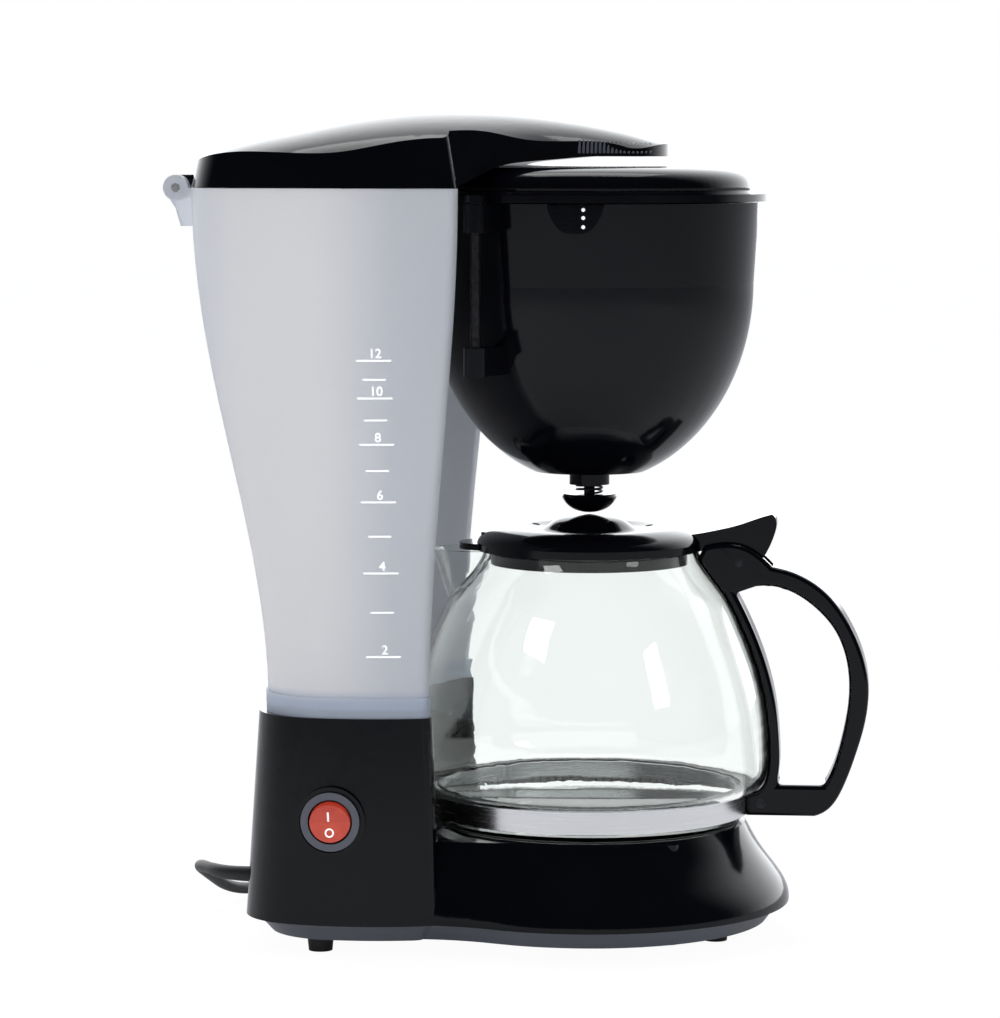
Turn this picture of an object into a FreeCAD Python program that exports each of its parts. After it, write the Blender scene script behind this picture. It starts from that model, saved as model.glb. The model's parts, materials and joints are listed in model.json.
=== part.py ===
import FreeCAD, Part
import math
import os

V = FreeCAD.Vector
UP = V(0, 0, 1)
RIGHT = V(1, 0, 0)
BACK = V(0, 1, 0)

# Lay-out: the jug and basket share one upright axis, and X is measured from it while modelling
JUG_BELLY_R = 72.8
JUG_ROOM = 9.2          # between the jug's belly and the hollow front of tower and tank
WALL_R = JUG_BELLY_R + JUG_ROOM
TANK_REACH_TOP = 152.0  # jug axis to the left end of the tank at its top
BRACKET_REACH = 12.0    # how far the tank brackets stand out
HINGE_REACH = TANK_REACH_TOP + BRACKET_REACH
GRIP_REACH = 39.4       # how far the handle stands out from the jug's belly
HANDLE_REACH = JUG_BELLY_R + GRIP_REACH
AXIS_X = round((HINGE_REACH - HANDLE_REACH) / 2, 3)

# Clearances
RUN_GAP = 0.05          # radial gap of a pin in its bore
MOVE_GAP = 0.3          # gap between pieces that pass each other
SEAT_GAP = 0.2          # gap round a piece dropped into its seat

# Base
FOOT_H = 7.0
FOOT_R = 5.4
FOOT_PLACES = ((-102.0, 50.0), (52.0, 14.0))
COVER_H = 7.3
COVER_LEAN = 5.5        # how far the plinth draws in towards the table
COVER_STEP = 3.5        # how far the plinth stands in from the housing
COVER_WALL = 2.5
HOUSING_BOTTOM = FOOT_H + COVER_H
HOUSING_WALL = 3.0
RIM_W = 9.0
PLATFORM_TOP = 46.2
PLATFORM_TOP_R = 63.0
PLATFORM_R = 80.8
TOWER_TOP = 95.0
TOWER_REACH = 132.0     # jug axis to the left end at the foot of the housing
TOWER_DEPTH = 75.0      # half depth at the foot of the housing
TOWER_REACH_TOP = 127.0
TOWER_DEPTH_TOP = 70.5
WAIST_U = -62.0
WAIST_DEPTH = 69.0
TOWER_FOOT_IN = 6.0     # foot of the hollow front, how far it runs out over the platform
TOWER_FOOT_UP = 13.0    # and how far up it starts
SCREW_PLACES = ((36.0, 50.0), (-45.0, 50.0))
POST_R = 3.5
BASE_SCREW_R = 1.4
BASE_SCREW_L = 17.0
BASE_SCREW_HEAD_R = 3.0
BASE_SCREW_HEAD_T = 1.8

# Plan of the tower and tank
SIDE_R = 100.0          # bow of the near and far sides
SIDE_U = -87.0
CORNER_R = 28.0
TIP_R = 5.0

# Warming plate and heater
PLATE_R = 60.5
PLATE_T = 1.5
PLATE_PROUD = 0.3
SEAL_W = 4.0
SEAL_T = 0.8
PLATE_TOP = PLATFORM_TOP + PLATE_PROUD
HEATER_R = 32.0
HEATER_LEG = 34.0
HEATER_BAR_W = 20.0
HEATER_BAR_T = 5.0
WATER_R = 4.5
WATER_BORE_R = 3.2
ELEMENT_R = 3.2
TUBE_GAP = 0.6          # between the water tube and the element
HEATER_TAIL = 12.0      # tube ends past the bar
CLAMP_W = 16.0
CLAMP_T = 2.0
CLAMP_U = -20.0
THERMOSTAT_R = 8.0
THERMOSTAT_H = 7.0
FUSE_R = 2.5
FUSE_L = 16.0
HOSE_R = 6.0
HOSE_GRIP = 10.0        # hose pushed over a tube end
HOSE_CLAMP_W = 5.0
HOSE_CLAMP_T = 0.7
VALVE_R = 8.0
VALVE_H = 16.0
VALVE_NIPPLE = 12.0
LEAD_R = 1.2

# Tank
TANK_TOP = 300.0
TANK_REACH = 123.5
TANK_DEPTH = 69.0
TANK_DEPTH_TOP = 84.0
TANK_WALL = 2.2
TANK_FLOOR = 3.0
TANK_BAND_H = 8.0
TANK_BAND_PROUD = 0.7
TANK_LEVELS = 6
OUTLET_U = -WALL_R - 22.0
OUTLET_V = -30.0
OUTLET_R = 6.0
OUTLET_BORE_R = 4.0
OUTLET_DROP = 12.0
RISER_U = -WALL_R - 18.0
RISER_R = 3.5
RISER_BORE_R = 2.3
RISER_BEND = 12.0
RISER_Z = 301.5
GROMMET_W = 3.0

# Tank lid and its hinge
BRACKET_R = 5.0
BRACKET_W = 5.0
LID_HINGE_U = BRACKET_R - HINGE_REACH
LID_HINGE_Z = TANK_TOP
LID_HINGE_V = 42.0
LID_EAR_W = 4.0
LID_PIN_R = 1.75
LID_WALL = 2.5
LID_LEAN = 7.0
LID_RISE = 31.3
LID_PEAK = TANK_TOP + LID_RISE
LID_TIP_U = 31.5
ARCH_STEPS = 8
ARCH_POWER = 0.78
LID_OVER = 3.0          # how far the crown's arches spring outside the tank
LID_HALF = TANK_DEPTH_TOP + LID_OVER
LID_ARCHES = (          # along the lid: place, half width of the crown, drop of the top line below the peak
    (-TANK_REACH_TOP - LID_OVER / 2, LID_HALF, 27.0),
    (4.0 - TANK_REACH_TOP, LID_HALF, 19.0),
    (13.0 - TANK_REACH_TOP, LID_HALF, 14.0),
    (35.0 - TANK_REACH_TOP, LID_HALF, 8.3),
    (66.0 - TANK_REACH_TOP, LID_HALF, 2.3),
    (-60.0, LID_HALF - 0.5, 0.0),
    (-40.0, LID_HALF - 10.0, 0.6),
    (-24.0, 58.0, 2.4),
    (-2.0, 42.0, 5.9),
    (17.0, 34.0, 10.1),
    (32.5, 29.5, 14.5),
)
TONGUE_TIP_W = 27.0
TONGUE_WALL = 3.3
TONGUE_TIP_U = 17.0

# Brew head
HEAD_R = 64.0
HEAD_FLANGE_R = 71.2
HEAD_FLANGE_T = 3.0
HEAD_TOP = 308.5
HEAD_WALL = 2.2
HEAD_BRIDGE_W = 90.0
SPRAY_R = 14.0

# Filter basket
BASKET_RIM = 294.0
BASKET_RIM_R = 67.3
BASKET_A = 65.2
BASKET_B = 80.0
BASKET_MID = 262.0
BASKET_WALL = 2.2
BASKET_FLOOR_R = 22.0
NECK_R = 8.0
NECK_END = 181.3
NECK_BORE_R = 6.4
NECK_PLATE_Z = 187.5
NECK_PLATE_T = 2.0
PIVOT_ROOM = 4.726      # from the pivot to the hollow front of the tank
PIVOT_U = -38.5
PIVOT_V = -round(math.sqrt((WALL_R - PIVOT_ROOM) ** 2 - PIVOT_U ** 2), 3)
PIVOT_PIN_R = 2.0
PIVOT_LUG_R = 4.5
PIVOT_LUG_H = 11.0
PIVOT_LUG_Z = 228.0
TAB_W = 22.0
TAB_H = 11.0
TAB_T = 3.0
FILTER_WALL = 1.2
FILTER_TOP_R = 58.0
FILTER_TOP = 286.0

# Drip stop
CAP_R = 11.0
CAP_BOTTOM = 170.0
CAP_EDGE_Z = 176.4
CAP_TOP = 177.6
STEM_R = 2.2
WASHER_R = 6.0
WASHER_T = 1.6
SPRING_R = 5.1
SPRING_WIRE_R = 0.45
SPRING_TURNS = 6

# Jug
JUG_WALL = 2.2
JUG_FOOT_STEP = 9.3
JUG_FOOT_R = JUG_BELLY_R - JUG_FOOT_STEP
JUG_RIM_R = 43.6
JUG_RIM_Z = 155.0
SPOUT_REACH = 62.6
SPOUT_R = 16.0
BAND_Z = 50.0
BAND_H = 9.0
BAND_T = 0.8
HANDLE_W = 18.0
STRAP_T = 4.2
GAP_FLOOR = 62.0        # foot of the finger gap
CHEEK_SLOT_W = 10.6
SCREW_R = 2.0
SCREW_HEAD_R = 3.6
SCREW_HEAD_T = 2.0

# Jug lid
JUG_LID_HINGE_U = JUG_RIM_R + 16.9
JUG_LID_HINGE_Z = JUG_RIM_Z - 4.0
JUG_LID_PIN_R = 1.6
JUG_LID_EAR_R = 4.6
JUG_LID_R = JUG_RIM_R + 1.4
JUG_LID_DOME = JUG_RIM_Z + 14.4
JUG_LID_WALL = 2.0
JUG_LID_SKIRT_R = JUG_RIM_R - JUG_WALL - 2.0
JUG_LID_SKIRT = 6.0
VENT_R = 1.6
VENT_RING_R = 26.5
LEVER_W = 9.6

# Switch
SWITCH_U = -94.4
SWITCH_Z = 55.3
SWITCH_PAD_R = 13.6
SWITCH_FACE = -73.6
SWITCH_RING_R = 12.2
SWITCH_RING_PROUD = 1.2
BEZEL_R = 11.5
BEZEL_T = 2.0
SWITCH_BODY_R = 9.9
SWITCH_BODY_L = 20.0
ROCKER_R = 8.2
ROCKER_DRUM_R = 8.4
ROCKER_GAP = 0.3
ROCKER_DISH = 10.0
ROCKER_TILT = 7.0
TERMINAL_W = 4.8
TERMINAL_T = 0.8
TERMINAL_L = 8.0

# Cord: points in the part's own frame
CORD_R = 2.4
EXIT_V = -30.0
EXIT_Z = 26.0
RELIEF_FLANGE_R = 6.3
RELIEF_FLANGE_T = 2.0
RELIEF_BEND_R = 21.0
RELIEF_TURN = 55.0      # degrees the sleeve bends towards the back
RELIEF_STEPS = 5
RELIEF_R = 3.1
RELIEF_NECK_R = 3.6
RELIEF_NECK_L = 7.0
SEAT_X = AXIS_X - TOWER_REACH + 1.2
TABLE_Z = CORD_R + 0.2
COIL_R = 28.0
COIL_STEP = 3.0
COIL_HALF_TURNS = 3
COIL_CLIMB = 2 * CORD_R + 0.8
COIL_START = V(-8.0, 112.0, TABLE_Z)
COIL_TAIL = 36.0        # straight tail of the coil, past its widest turn, to the plug
CORD_ROUTE = (
    V(SEAT_X - RELIEF_FLANGE_T - 17.20, EXIT_V + 8.96, EXIT_Z),
    V(-134.2, -6.6, EXIT_Z),
    V(-132.0, 16.0, 17.0),
    V(-128.5, 40.0, 7.0),
    V(-119.0, 62.0, TABLE_Z),
    V(-103.0, 82.0, TABLE_Z),
    V(-80.0, 97.0, TABLE_Z),
    V(-54.0, 107.0, TABLE_Z),
    V(-32.0, 112.0, TABLE_Z),
    COIL_START,
)
TIE_W = 6.0
TIE_T = 1.0
PLUG_L = 38.0
PLUG_W = 26.0
PLUG_PIN_R = 2.0
PLUG_PIN_L = 19.0
PLUG_PIN_SPREAD = 19.0


# Shapes that many pieces share
def rod(radius, length, base, along=UP):
    return Part.makeCylinder(radius, length, base, along)


def tube(radius, bore, length, base, along=UP):
    return rod(radius, length, base, along).cut(rod(bore, length, base, along))


def block(u0, u1, v0, v1, z0, z1):
    return Part.makeBox(u1 - u0, v1 - v0, z1 - z0, V(u0, v0, z0))


def straight(points):
    corners = [V(x, 0, z) for x, z in points]
    return [Part.makeLine(a, b) for a, b in zip(corners, corners[1:])]


def smooth(points):
    curve = Part.BSplineCurve()
    curve.interpolate([V(x, 0, z) for x, z in points])
    return [curve.toShape()]


def face(edges):
    return Part.Face(Part.Wire(edges))


def turned(edges):
    return face(edges).revolve(V(), UP, 360)


def across(edges, width):
    return face(edges).translate(V(0, -width / 2, 0)).extrude(V(0, width, 0))


def turned_line(points):
    return turned(straight(list(points) + [points[0]]))


def arc_about(centre, start, end):
    radius = (start - centre).Length
    middle = centre + ((start - centre) + (end - centre)).normalize() * radius
    return Part.Arc(start, middle, end).toShape()


def loft(wires):
    return Part.makeLoft(wires, True)


def mirrored(point):
    return V(point.x, -point.y, point.z)


def meeting(centre_a, radius_a, centre_b, radius_b):
    """Near crossing of two circles that lie at one height."""
    apart = centre_b - centre_a
    gap = apart.Length
    along = (gap ** 2 + radius_a ** 2 - radius_b ** 2) / (2 * gap)
    aside = math.sqrt(radius_a ** 2 - along ** 2)
    unit = apart / gap
    return centre_a + unit * along + V(-unit.y, unit.x, 0) * aside


def bent_path(points, share=0.45, show=""):
    """Straight runs joined by tangent arcs, each as large as its runs allow."""
    edges = []
    start = points[0]
    radii = []
    for before, here, after in zip(points, points[1:], points[2:]):
        back = before - here
        ahead = after - here
        cut = share * min(back.Length, ahead.Length)
        half_turn = (math.pi - back.getAngle(ahead)) / 2
        radius = cut / math.tan(half_turn)
        radii.append(radius)
        enter = here + back.normalize() * cut
        leave = here + ahead.normalize() * cut
        inward = (back + ahead).normalize()
        middle = here + inward * (radius / math.cos(half_turn) - radius)
        edges.append(Part.makeLine(start, enter))
        edges.append(Part.Arc(enter, middle, leave).toShape())
        start = leave
    edges.append(Part.makeLine(start, points[-1]))
    if show:
        print(show, "bend radii", [round(radius, 1) for radius in radii])
    return Part.Wire(edges)


def swept(path, radius):
    first = path.Edges[0]
    start = first.valueAt(first.FirstParameter)
    along = first.tangentAt(first.FirstParameter)
    ring = Part.Wire(Part.makeCircle(radius, start, along))
    return path.makePipeShell([ring], True, False)


def pipe(points, radius, bore, share=0.45):
    path = bent_path(points, share)
    return swept(path, radius).cut(swept(path, bore))


def half_turn(start, along, aside, radius, climb=0.0):
    """Half a turn of wire that leaves along one way and comes back the other way."""
    span = math.sqrt((2 * radius) ** 2 - climb ** 2)
    end = start + aside * span + UP * climb
    middle = (start + end) / 2 + along * radius
    return Part.Arc(start, middle, end).toShape(), end


def least_gap(path, radius, skip):
    """Least gap between a wound tube and itself, measured on points."""
    count = int(path.Length / radius)
    points = path.discretize(count)
    step = path.Length / (count - 1)
    near = int(skip / step)
    gaps = [
        (a - b).Length
        for i, a in enumerate(points)
        for b in points[i + near:]
    ]
    return min(gaps) - 2 * radius


# Plan of the tower and the tank: flat left end, round corners, bowed sides, hollow front
def tub_wire(z, reach, depth, inset=0.0):
    axis = V(0, 0, z)
    side = V(SIDE_U, SIDE_R - depth, z)
    corner_u = CORNER_R - reach
    corner_drop = math.sqrt((SIDE_R - CORNER_R) ** 2 - (corner_u - SIDE_U) ** 2)
    corner = V(corner_u, side.y - corner_drop, z)
    tip = meeting(axis, WALL_R + TIP_R, side, SIDE_R - TIP_R)
    end = V(inset - reach, corner.y, z)
    bow_start = corner + (corner - side).normalize() * (CORNER_R - inset)
    bow_end = tip + (tip - side).normalize() * (TIP_R - inset)
    front = tip - (tip - axis).normalize() * (TIP_R - inset)
    return Part.Wire([
        Part.makeLine(mirrored(end), end),
        arc_about(corner, end, bow_start),
        arc_about(side, bow_start, bow_end),
        arc_about(tip, bow_end, front),
        arc_about(axis, front, mirrored(front)),
        arc_about(mirrored(tip), mirrored(front), mirrored(bow_end)),
        arc_about(mirrored(side), mirrored(bow_end), mirrored(bow_start)),
        arc_about(mirrored(corner), mirrored(bow_start), mirrored(end)),
    ])


def tower_size(z):
    share = (z - HOUSING_BOTTOM) / (TOWER_TOP - HOUSING_BOTTOM)
    reach = TOWER_REACH + (TOWER_REACH_TOP - TOWER_REACH) * share
    depth = TOWER_DEPTH + (TOWER_DEPTH_TOP - TOWER_DEPTH) * share
    return reach, depth


def tower_block(z0, z1, inset=0.0):
    return loft([tub_wire(z, *tower_size(z), inset) for z in (z0, z1)])


def tank_size(z):
    share = (1 - math.cos(math.pi * (z - TOWER_TOP) / (TANK_TOP - TOWER_TOP))) / 2
    reach = TANK_REACH + (TANK_REACH_TOP - TANK_REACH) * share
    depth = TANK_DEPTH + (TANK_DEPTH_TOP - TANK_DEPTH) * share
    return reach, depth


def tank_block(z0, z1, inset=0.0):
    heights = [z0 + (z1 - z0) * i / TANK_LEVELS for i in range(TANK_LEVELS + 1)]
    return loft([tub_wire(z, *tank_size(z), inset) for z in heights])


# Round platform with a waist where it meets the tower
def platform_wire(z, radius, waist):
    bend = -WAIST_U / 2
    near = Part.BezierCurve()
    near.setPoles([
        V(WAIST_U, -waist, z),
        V(WAIST_U + bend, -waist, z),
        V(-bend, -radius, z),
        V(0, -radius, z),
    ])
    far = Part.BezierCurve()
    far.setPoles([mirrored(pole) for pole in reversed(near.getPoles())])
    root = V(-WALL_R - 2 * TIP_R, -0.7 * waist, z)
    return Part.Wire([
        Part.makeLine(V(WAIST_U, waist, z), mirrored(root)),
        Part.makeLine(mirrored(root), root),
        Part.makeLine(root, V(WAIST_U, -waist, z)),
        near.toShape(),
        Part.Arc(V(0, -radius, z), V(radius, 0, z), V(0, radius, z)).toShape(),
        far.toShape(),
    ])


def platform_block(inset, top_cut=0.0):
    """Sloping shoulder between the wide foot and the flat top."""
    foot = HOUSING_BOTTOM
    rise = PLATFORM_TOP - foot
    slope = PLATFORM_R - PLATFORM_TOP_R
    shares = ((0.0, 0.0), (0.14, 0.03), (0.32, 0.20), (0.70, 0.70), (0.91, 0.91), (1.0, 1.0))
    wires = []
    for height, draw in shares:
        radius = PLATFORM_R - slope * draw - inset
        waist = WAIST_DEPTH - (WAIST_DEPTH - PLATFORM_TOP_R) * draw - inset
        wires.append(platform_wire(foot + (rise - top_cut) * height, radius, waist))
    return loft(wires)


def base_floor_plan(z0, z1, inset0, inset1):
    """Slab with the base's plan, drawn in by one amount below and another above."""
    tower = loft([
        tub_wire(z, TOWER_REACH - inset, TOWER_DEPTH - inset)
        for z, inset in ((z0, inset0), (z1, inset1))
    ])
    round_part = loft([
        platform_wire(z, PLATFORM_R - inset, WAIST_DEPTH - inset)
        for z, inset in ((z0, inset0), (z1, inset1))
    ])
    return tower.fuse(round_part)


# Base housing
def tower_foot():
    """Concave foot of the tower's hollow front, spread over the platform."""
    start = (WALL_R - TOWER_FOOT_IN, PLATFORM_TOP)
    middle = (WALL_R - 0.3 * TOWER_FOOT_IN, PLATFORM_TOP + 0.3 * TOWER_FOOT_UP)
    end = (WALL_R, PLATFORM_TOP + TOWER_FOOT_UP)
    edges = smooth([start, middle, end]) + straight([end, (WALL_R, PLATFORM_TOP), start])
    plan = Part.Face(platform_wire(PLATFORM_TOP, PLATFORM_TOP_R, PLATFORM_TOP_R))
    return turned(edges).common(plan.extrude(UP * TOWER_FOOT_UP))


def switch_axis(v):
    return V(SWITCH_U, v, SWITCH_Z)


def both_sides(places):
    return [(u, side * v) for u, v in places for side in (-1, 1)]


def base_hollow():
    rim_z = HOUSING_BOTTOM + HOUSING_WALL
    tower = tower_block(HOUSING_BOTTOM, TOWER_TOP - HOUSING_WALL, HOUSING_WALL)
    inner = tower.fuse(platform_block(HOUSING_WALL, HOUSING_WALL))
    below = block(-2 * TOWER_REACH, 2 * PLATFORM_R, -2 * PLATFORM_R, 2 * PLATFORM_R, 0, rim_z)
    return inner.cut(below).fuse(base_floor_plan(HOUSING_BOTTOM, rim_z, RIM_W, RIM_W))


def base_housing():
    outer = tower_block(HOUSING_BOTTOM, TOWER_TOP).fuse([platform_block(0.0), tower_foot()])
    pad = rod(SWITCH_PAD_R, SWITCH_PAD_R / 2, switch_axis(SWITCH_FACE), BACK)
    lip_face = switch_axis(SWITCH_FACE - SWITCH_RING_PROUD)
    lip = tube(SWITCH_PAD_R, SWITCH_RING_R, SWITCH_RING_PROUD, lip_face, BACK)
    shell = outer.fuse([pad, lip]).cut(base_hollow())
    post_h = PLATFORM_TOP - HOUSING_BOTTOM - HOUSING_WALL / 2
    posts = [rod(POST_R, post_h, V(u, v, HOUSING_BOTTOM)) for u, v in both_sides(SCREW_PLACES)]
    shell = shell.fuse(posts)
    plate_seat = PLATE_TOP - PLATE_T - SEAL_T
    exit_u = SEAT_X - AXIS_X
    top_z = TOWER_TOP - 2 * HOUSING_WALL
    cuts = [
        rod(PLATE_R + SEAT_GAP, PLATFORM_TOP, V(0, 0, plate_seat)),
        rod(PLATE_R - SEAL_W, PLATFORM_TOP, V(0, 0, plate_seat - 2 * HOUSING_WALL)),
        rod(SWITCH_BODY_R + SEAT_GAP, SWITCH_BODY_L, switch_axis(SWITCH_FACE), BACK),
        rod(OUTLET_R + GROMMET_W, 2 * HOUSING_WALL, V(OUTLET_U, OUTLET_V, top_z)),
        rod(RISER_R + GROMMET_W, 2 * HOUSING_WALL, V(RISER_U, 0, top_z)),
        rod(RELIEF_FLANGE_R + SEAT_GAP, RELIEF_BEND_R, V(exit_u - RELIEF_BEND_R, EXIT_V, EXIT_Z), RIGHT),
        rod(RELIEF_NECK_R, 2 * RELIEF_NECK_L, V(exit_u, EXIT_V, EXIT_Z), RIGHT),
    ]
    for u, v in both_sides(SCREW_PLACES):
        cuts.append(rod(BASE_SCREW_R, BASE_SCREW_L, V(u, v, FOOT_H)))
    return shell.cut(cuts)


def bottom_cover():
    outer = base_floor_plan(FOOT_H, HOUSING_BOTTOM, COVER_STEP + COVER_LEAN, COVER_STEP)
    floor_z = FOOT_H + COVER_WALL
    inset = COVER_STEP + COVER_WALL
    hollow = base_floor_plan(floor_z, HOUSING_BOTTOM, inset + COVER_LEAN, inset)
    holes = [rod(BASE_SCREW_R, COVER_H, V(u, v, FOOT_H)) for u, v in both_sides(SCREW_PLACES)]
    return outer.cut([hollow] + holes)


def rubber_feet():
    return Part.makeCompound([
        Part.makeCone(FOOT_R - 0.7, FOOT_R, FOOT_H, V(u, v, 0))
        for u, v in both_sides(FOOT_PLACES)
    ])


def bottom_screws():
    screws = []
    for u, v in both_sides(SCREW_PLACES):
        head = rod(BASE_SCREW_HEAD_R, BASE_SCREW_HEAD_T, V(u, v, FOOT_H - BASE_SCREW_HEAD_T))
        screws.append(head.fuse(rod(BASE_SCREW_R, BASE_SCREW_L, V(u, v, FOOT_H))))
    return Part.makeCompound(screws)


# Warming plate and heater
def warming_plate():
    return rod(PLATE_R, PLATE_T, V(0, 0, PLATE_TOP - PLATE_T))


def plate_seal():
    return tube(PLATE_R, PLATE_R - SEAL_W, SEAL_T, V(0, 0, PLATE_TOP - PLATE_T - SEAL_T))


PLATE_UNDER = PLATE_TOP - PLATE_T
BAR_UNDER = PLATE_UNDER - HEATER_BAR_T
WATER_ARC_R = HEATER_R + WATER_R
ELEMENT_ARC_R = WATER_ARC_R - WATER_R - ELEMENT_R - TUBE_GAP
WATER_Z = BAR_UNDER - WATER_R
ELEMENT_Z = BAR_UNDER - ELEMENT_R
TAIL_U = -HEATER_LEG - HEATER_TAIL
ELEMENT_TAIL_U = -HEATER_LEG - 1.0


def heater_bar():
    outer = HEATER_R + HEATER_BAR_W / 2
    inner = HEATER_R - HEATER_BAR_W / 2
    bend = tube(outer, inner, HEATER_BAR_T, V(0, 0, BAR_UNDER))
    bend = bend.common(block(0, outer, -outer, outer, BAR_UNDER, PLATE_UNDER))
    near = block(-HEATER_LEG, 0, -outer, -inner, BAR_UNDER, PLATE_UNDER)
    far = block(-HEATER_LEG, 0, inner, outer, BAR_UNDER, PLATE_UNDER)
    return bend.fuse([near, far])


def horseshoe(radius, z, tail):
    near = V(0, -radius, z)
    far = V(0, radius, z)
    return Part.Wire([
        Part.makeLine(V(tail, -radius, z), near),
        Part.Arc(near, V(radius, 0, z), far).toShape(),
        Part.makeLine(far, V(tail, radius, z)),
    ])


def heater_tube():
    path = horseshoe(WATER_ARC_R, WATER_Z, TAIL_U)
    return swept(path, WATER_R).cut(swept(path, WATER_BORE_R))


def heater_element():
    return swept(horseshoe(ELEMENT_ARC_R, ELEMENT_Z, ELEMENT_TAIL_U), ELEMENT_R)


def clamp_top():
    return WATER_Z - WATER_R


def heater_clamp():
    half = WATER_ARC_R + WATER_R
    u0 = CLAMP_U - CLAMP_W / 2
    bar = block(u0, u0 + CLAMP_W, -half, half, clamp_top() - CLAMP_T, clamp_top())
    return bar.cut(rod(SCREW_R, CLAMP_T, V(CLAMP_U, 0, clamp_top() - CLAMP_T)))


def clamp_screw():
    head_z = clamp_top() - CLAMP_T - SCREW_HEAD_T
    head = rod(SCREW_HEAD_R, SCREW_HEAD_T, V(CLAMP_U, 0, head_z))
    shank = rod(SCREW_R, PLATE_UNDER - head_z, V(CLAMP_U, 0, head_z))
    return head.fuse(shank)


def thermostat():
    return rod(THERMOSTAT_R, THERMOSTAT_H, V(HEATER_R / 3, 0, PLATE_UNDER - THERMOSTAT_H))


def thermal_fuse():
    return rod(FUSE_R, FUSE_L, V(CLAMP_U / 4 - FUSE_L, THERMOSTAT_R + FUSE_R, PLATE_UNDER - FUSE_R), RIGHT)


# Water path
VALVE_TOP = TOWER_TOP - OUTLET_DROP
VALVE_UNDER = VALVE_TOP - VALVE_H
HOSE_TOP = VALVE_UNDER - 1.0
RISER_FOOT = VALVE_UNDER - VALVE_NIPPLE
RISER_COLLAR = VALVE_NIPPLE


def check_valve():
    at = V(OUTLET_U, OUTLET_V, VALVE_UNDER)
    body = rod(VALVE_R, VALVE_H, at)
    nipple = rod(WATER_R, VALVE_NIPPLE, at - UP * VALVE_NIPPLE)
    bore = rod(WATER_BORE_R, VALVE_H + VALVE_NIPPLE, at - UP * VALVE_NIPPLE)
    return body.fuse(nipple).cut(bore)


def inlet_hose():
    grip = V(TAIL_U + HOSE_GRIP, -WATER_ARC_R, WATER_Z)
    return pipe([
        V(OUTLET_U, OUTLET_V, HOSE_TOP),
        V(OUTLET_U, OUTLET_V, WATER_Z),
        V(OUTLET_U - (OUTLET_U - grip.x) / 2, -WATER_ARC_R, WATER_Z),
        grip,
    ], HOSE_R, WATER_R)


def outlet_hose():
    return pipe([
        V(TAIL_U + HOSE_GRIP, WATER_ARC_R, WATER_Z),
        V(RISER_U, WATER_ARC_R, WATER_Z),
        V(RISER_U, 0, WATER_Z),
        V(RISER_U, 0, RISER_FOOT + HOSE_GRIP),
    ], HOSE_R, WATER_R)


def hose_clamps():
    band_r = HOSE_R + HOSE_CLAMP_T
    near_end = (HOSE_GRIP - HOSE_CLAMP_W) / 2
    tail = TAIL_U + near_end
    return Part.makeCompound([
        tube(band_r, HOSE_R, HOSE_CLAMP_W, V(OUTLET_U, OUTLET_V, RISER_FOOT + near_end)),
        tube(band_r, HOSE_R, HOSE_CLAMP_W, V(RISER_U, 0, RISER_FOOT + near_end)),
        tube(band_r, HOSE_R, HOSE_CLAMP_W, V(tail, -WATER_ARC_R, WATER_Z), RIGHT),
        tube(band_r, HOSE_R, HOSE_CLAMP_W, V(tail, WATER_ARC_R, WATER_Z), RIGHT),
    ])


def tank_seals():
    low = TOWER_TOP - HOUSING_WALL
    outlet = tube(OUTLET_R + GROMMET_W, OUTLET_R, HOUSING_WALL, V(OUTLET_U, OUTLET_V, low))
    riser = tube(RISER_R + GROMMET_W, RISER_R, HOUSING_WALL + TANK_FLOOR, V(RISER_U, 0, low))
    return Part.makeCompound([outlet, riser])


def riser_tube():
    share = RISER_BEND / (-SPRAY_R - RISER_U)
    body = pipe([
        V(RISER_U, 0, RISER_FOOT),
        V(RISER_U, 0, RISER_Z),
        V(-SPRAY_R, 0, RISER_Z),
    ], RISER_R, RISER_BORE_R, share)
    collar = tube(WATER_R, RISER_R, RISER_COLLAR, V(RISER_U, 0, RISER_FOOT))
    return body.fuse(collar)


# Water tank
def lid_axis(v):
    return V(LID_HINGE_U, v, LID_HINGE_Z)


def tank_bracket(side):
    middle = side * LID_HINGE_V
    wall_u = TANK_WALL - TANK_REACH_TOP
    top = TANK_TOP - SEAT_GAP
    foot = TANK_TOP - 3 * BRACKET_R
    web = across(straight([
        (LID_HINGE_U - BRACKET_R, top),
        (LID_HINGE_U, TANK_TOP - 1.6 * BRACKET_R),
        (LID_HINGE_U + 0.4 * BRACKET_R, foot),
        (wall_u, foot),
        (wall_u, top),
        (LID_HINGE_U - BRACKET_R, top),
    ]), BRACKET_W).translate(V(0, middle, 0))
    eye = rod(BRACKET_R, BRACKET_W, lid_axis(middle - BRACKET_W / 2), BACK)
    return web.fuse(eye)


def tank_band():
    top = TOWER_TOP + TANK_BAND_H
    return loft([
        tub_wire(z, tank_size(z)[0] + TANK_BAND_PROUD, tank_size(z)[1] + TANK_BAND_PROUD)
        for z in (TOWER_TOP, top)
    ])


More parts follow.
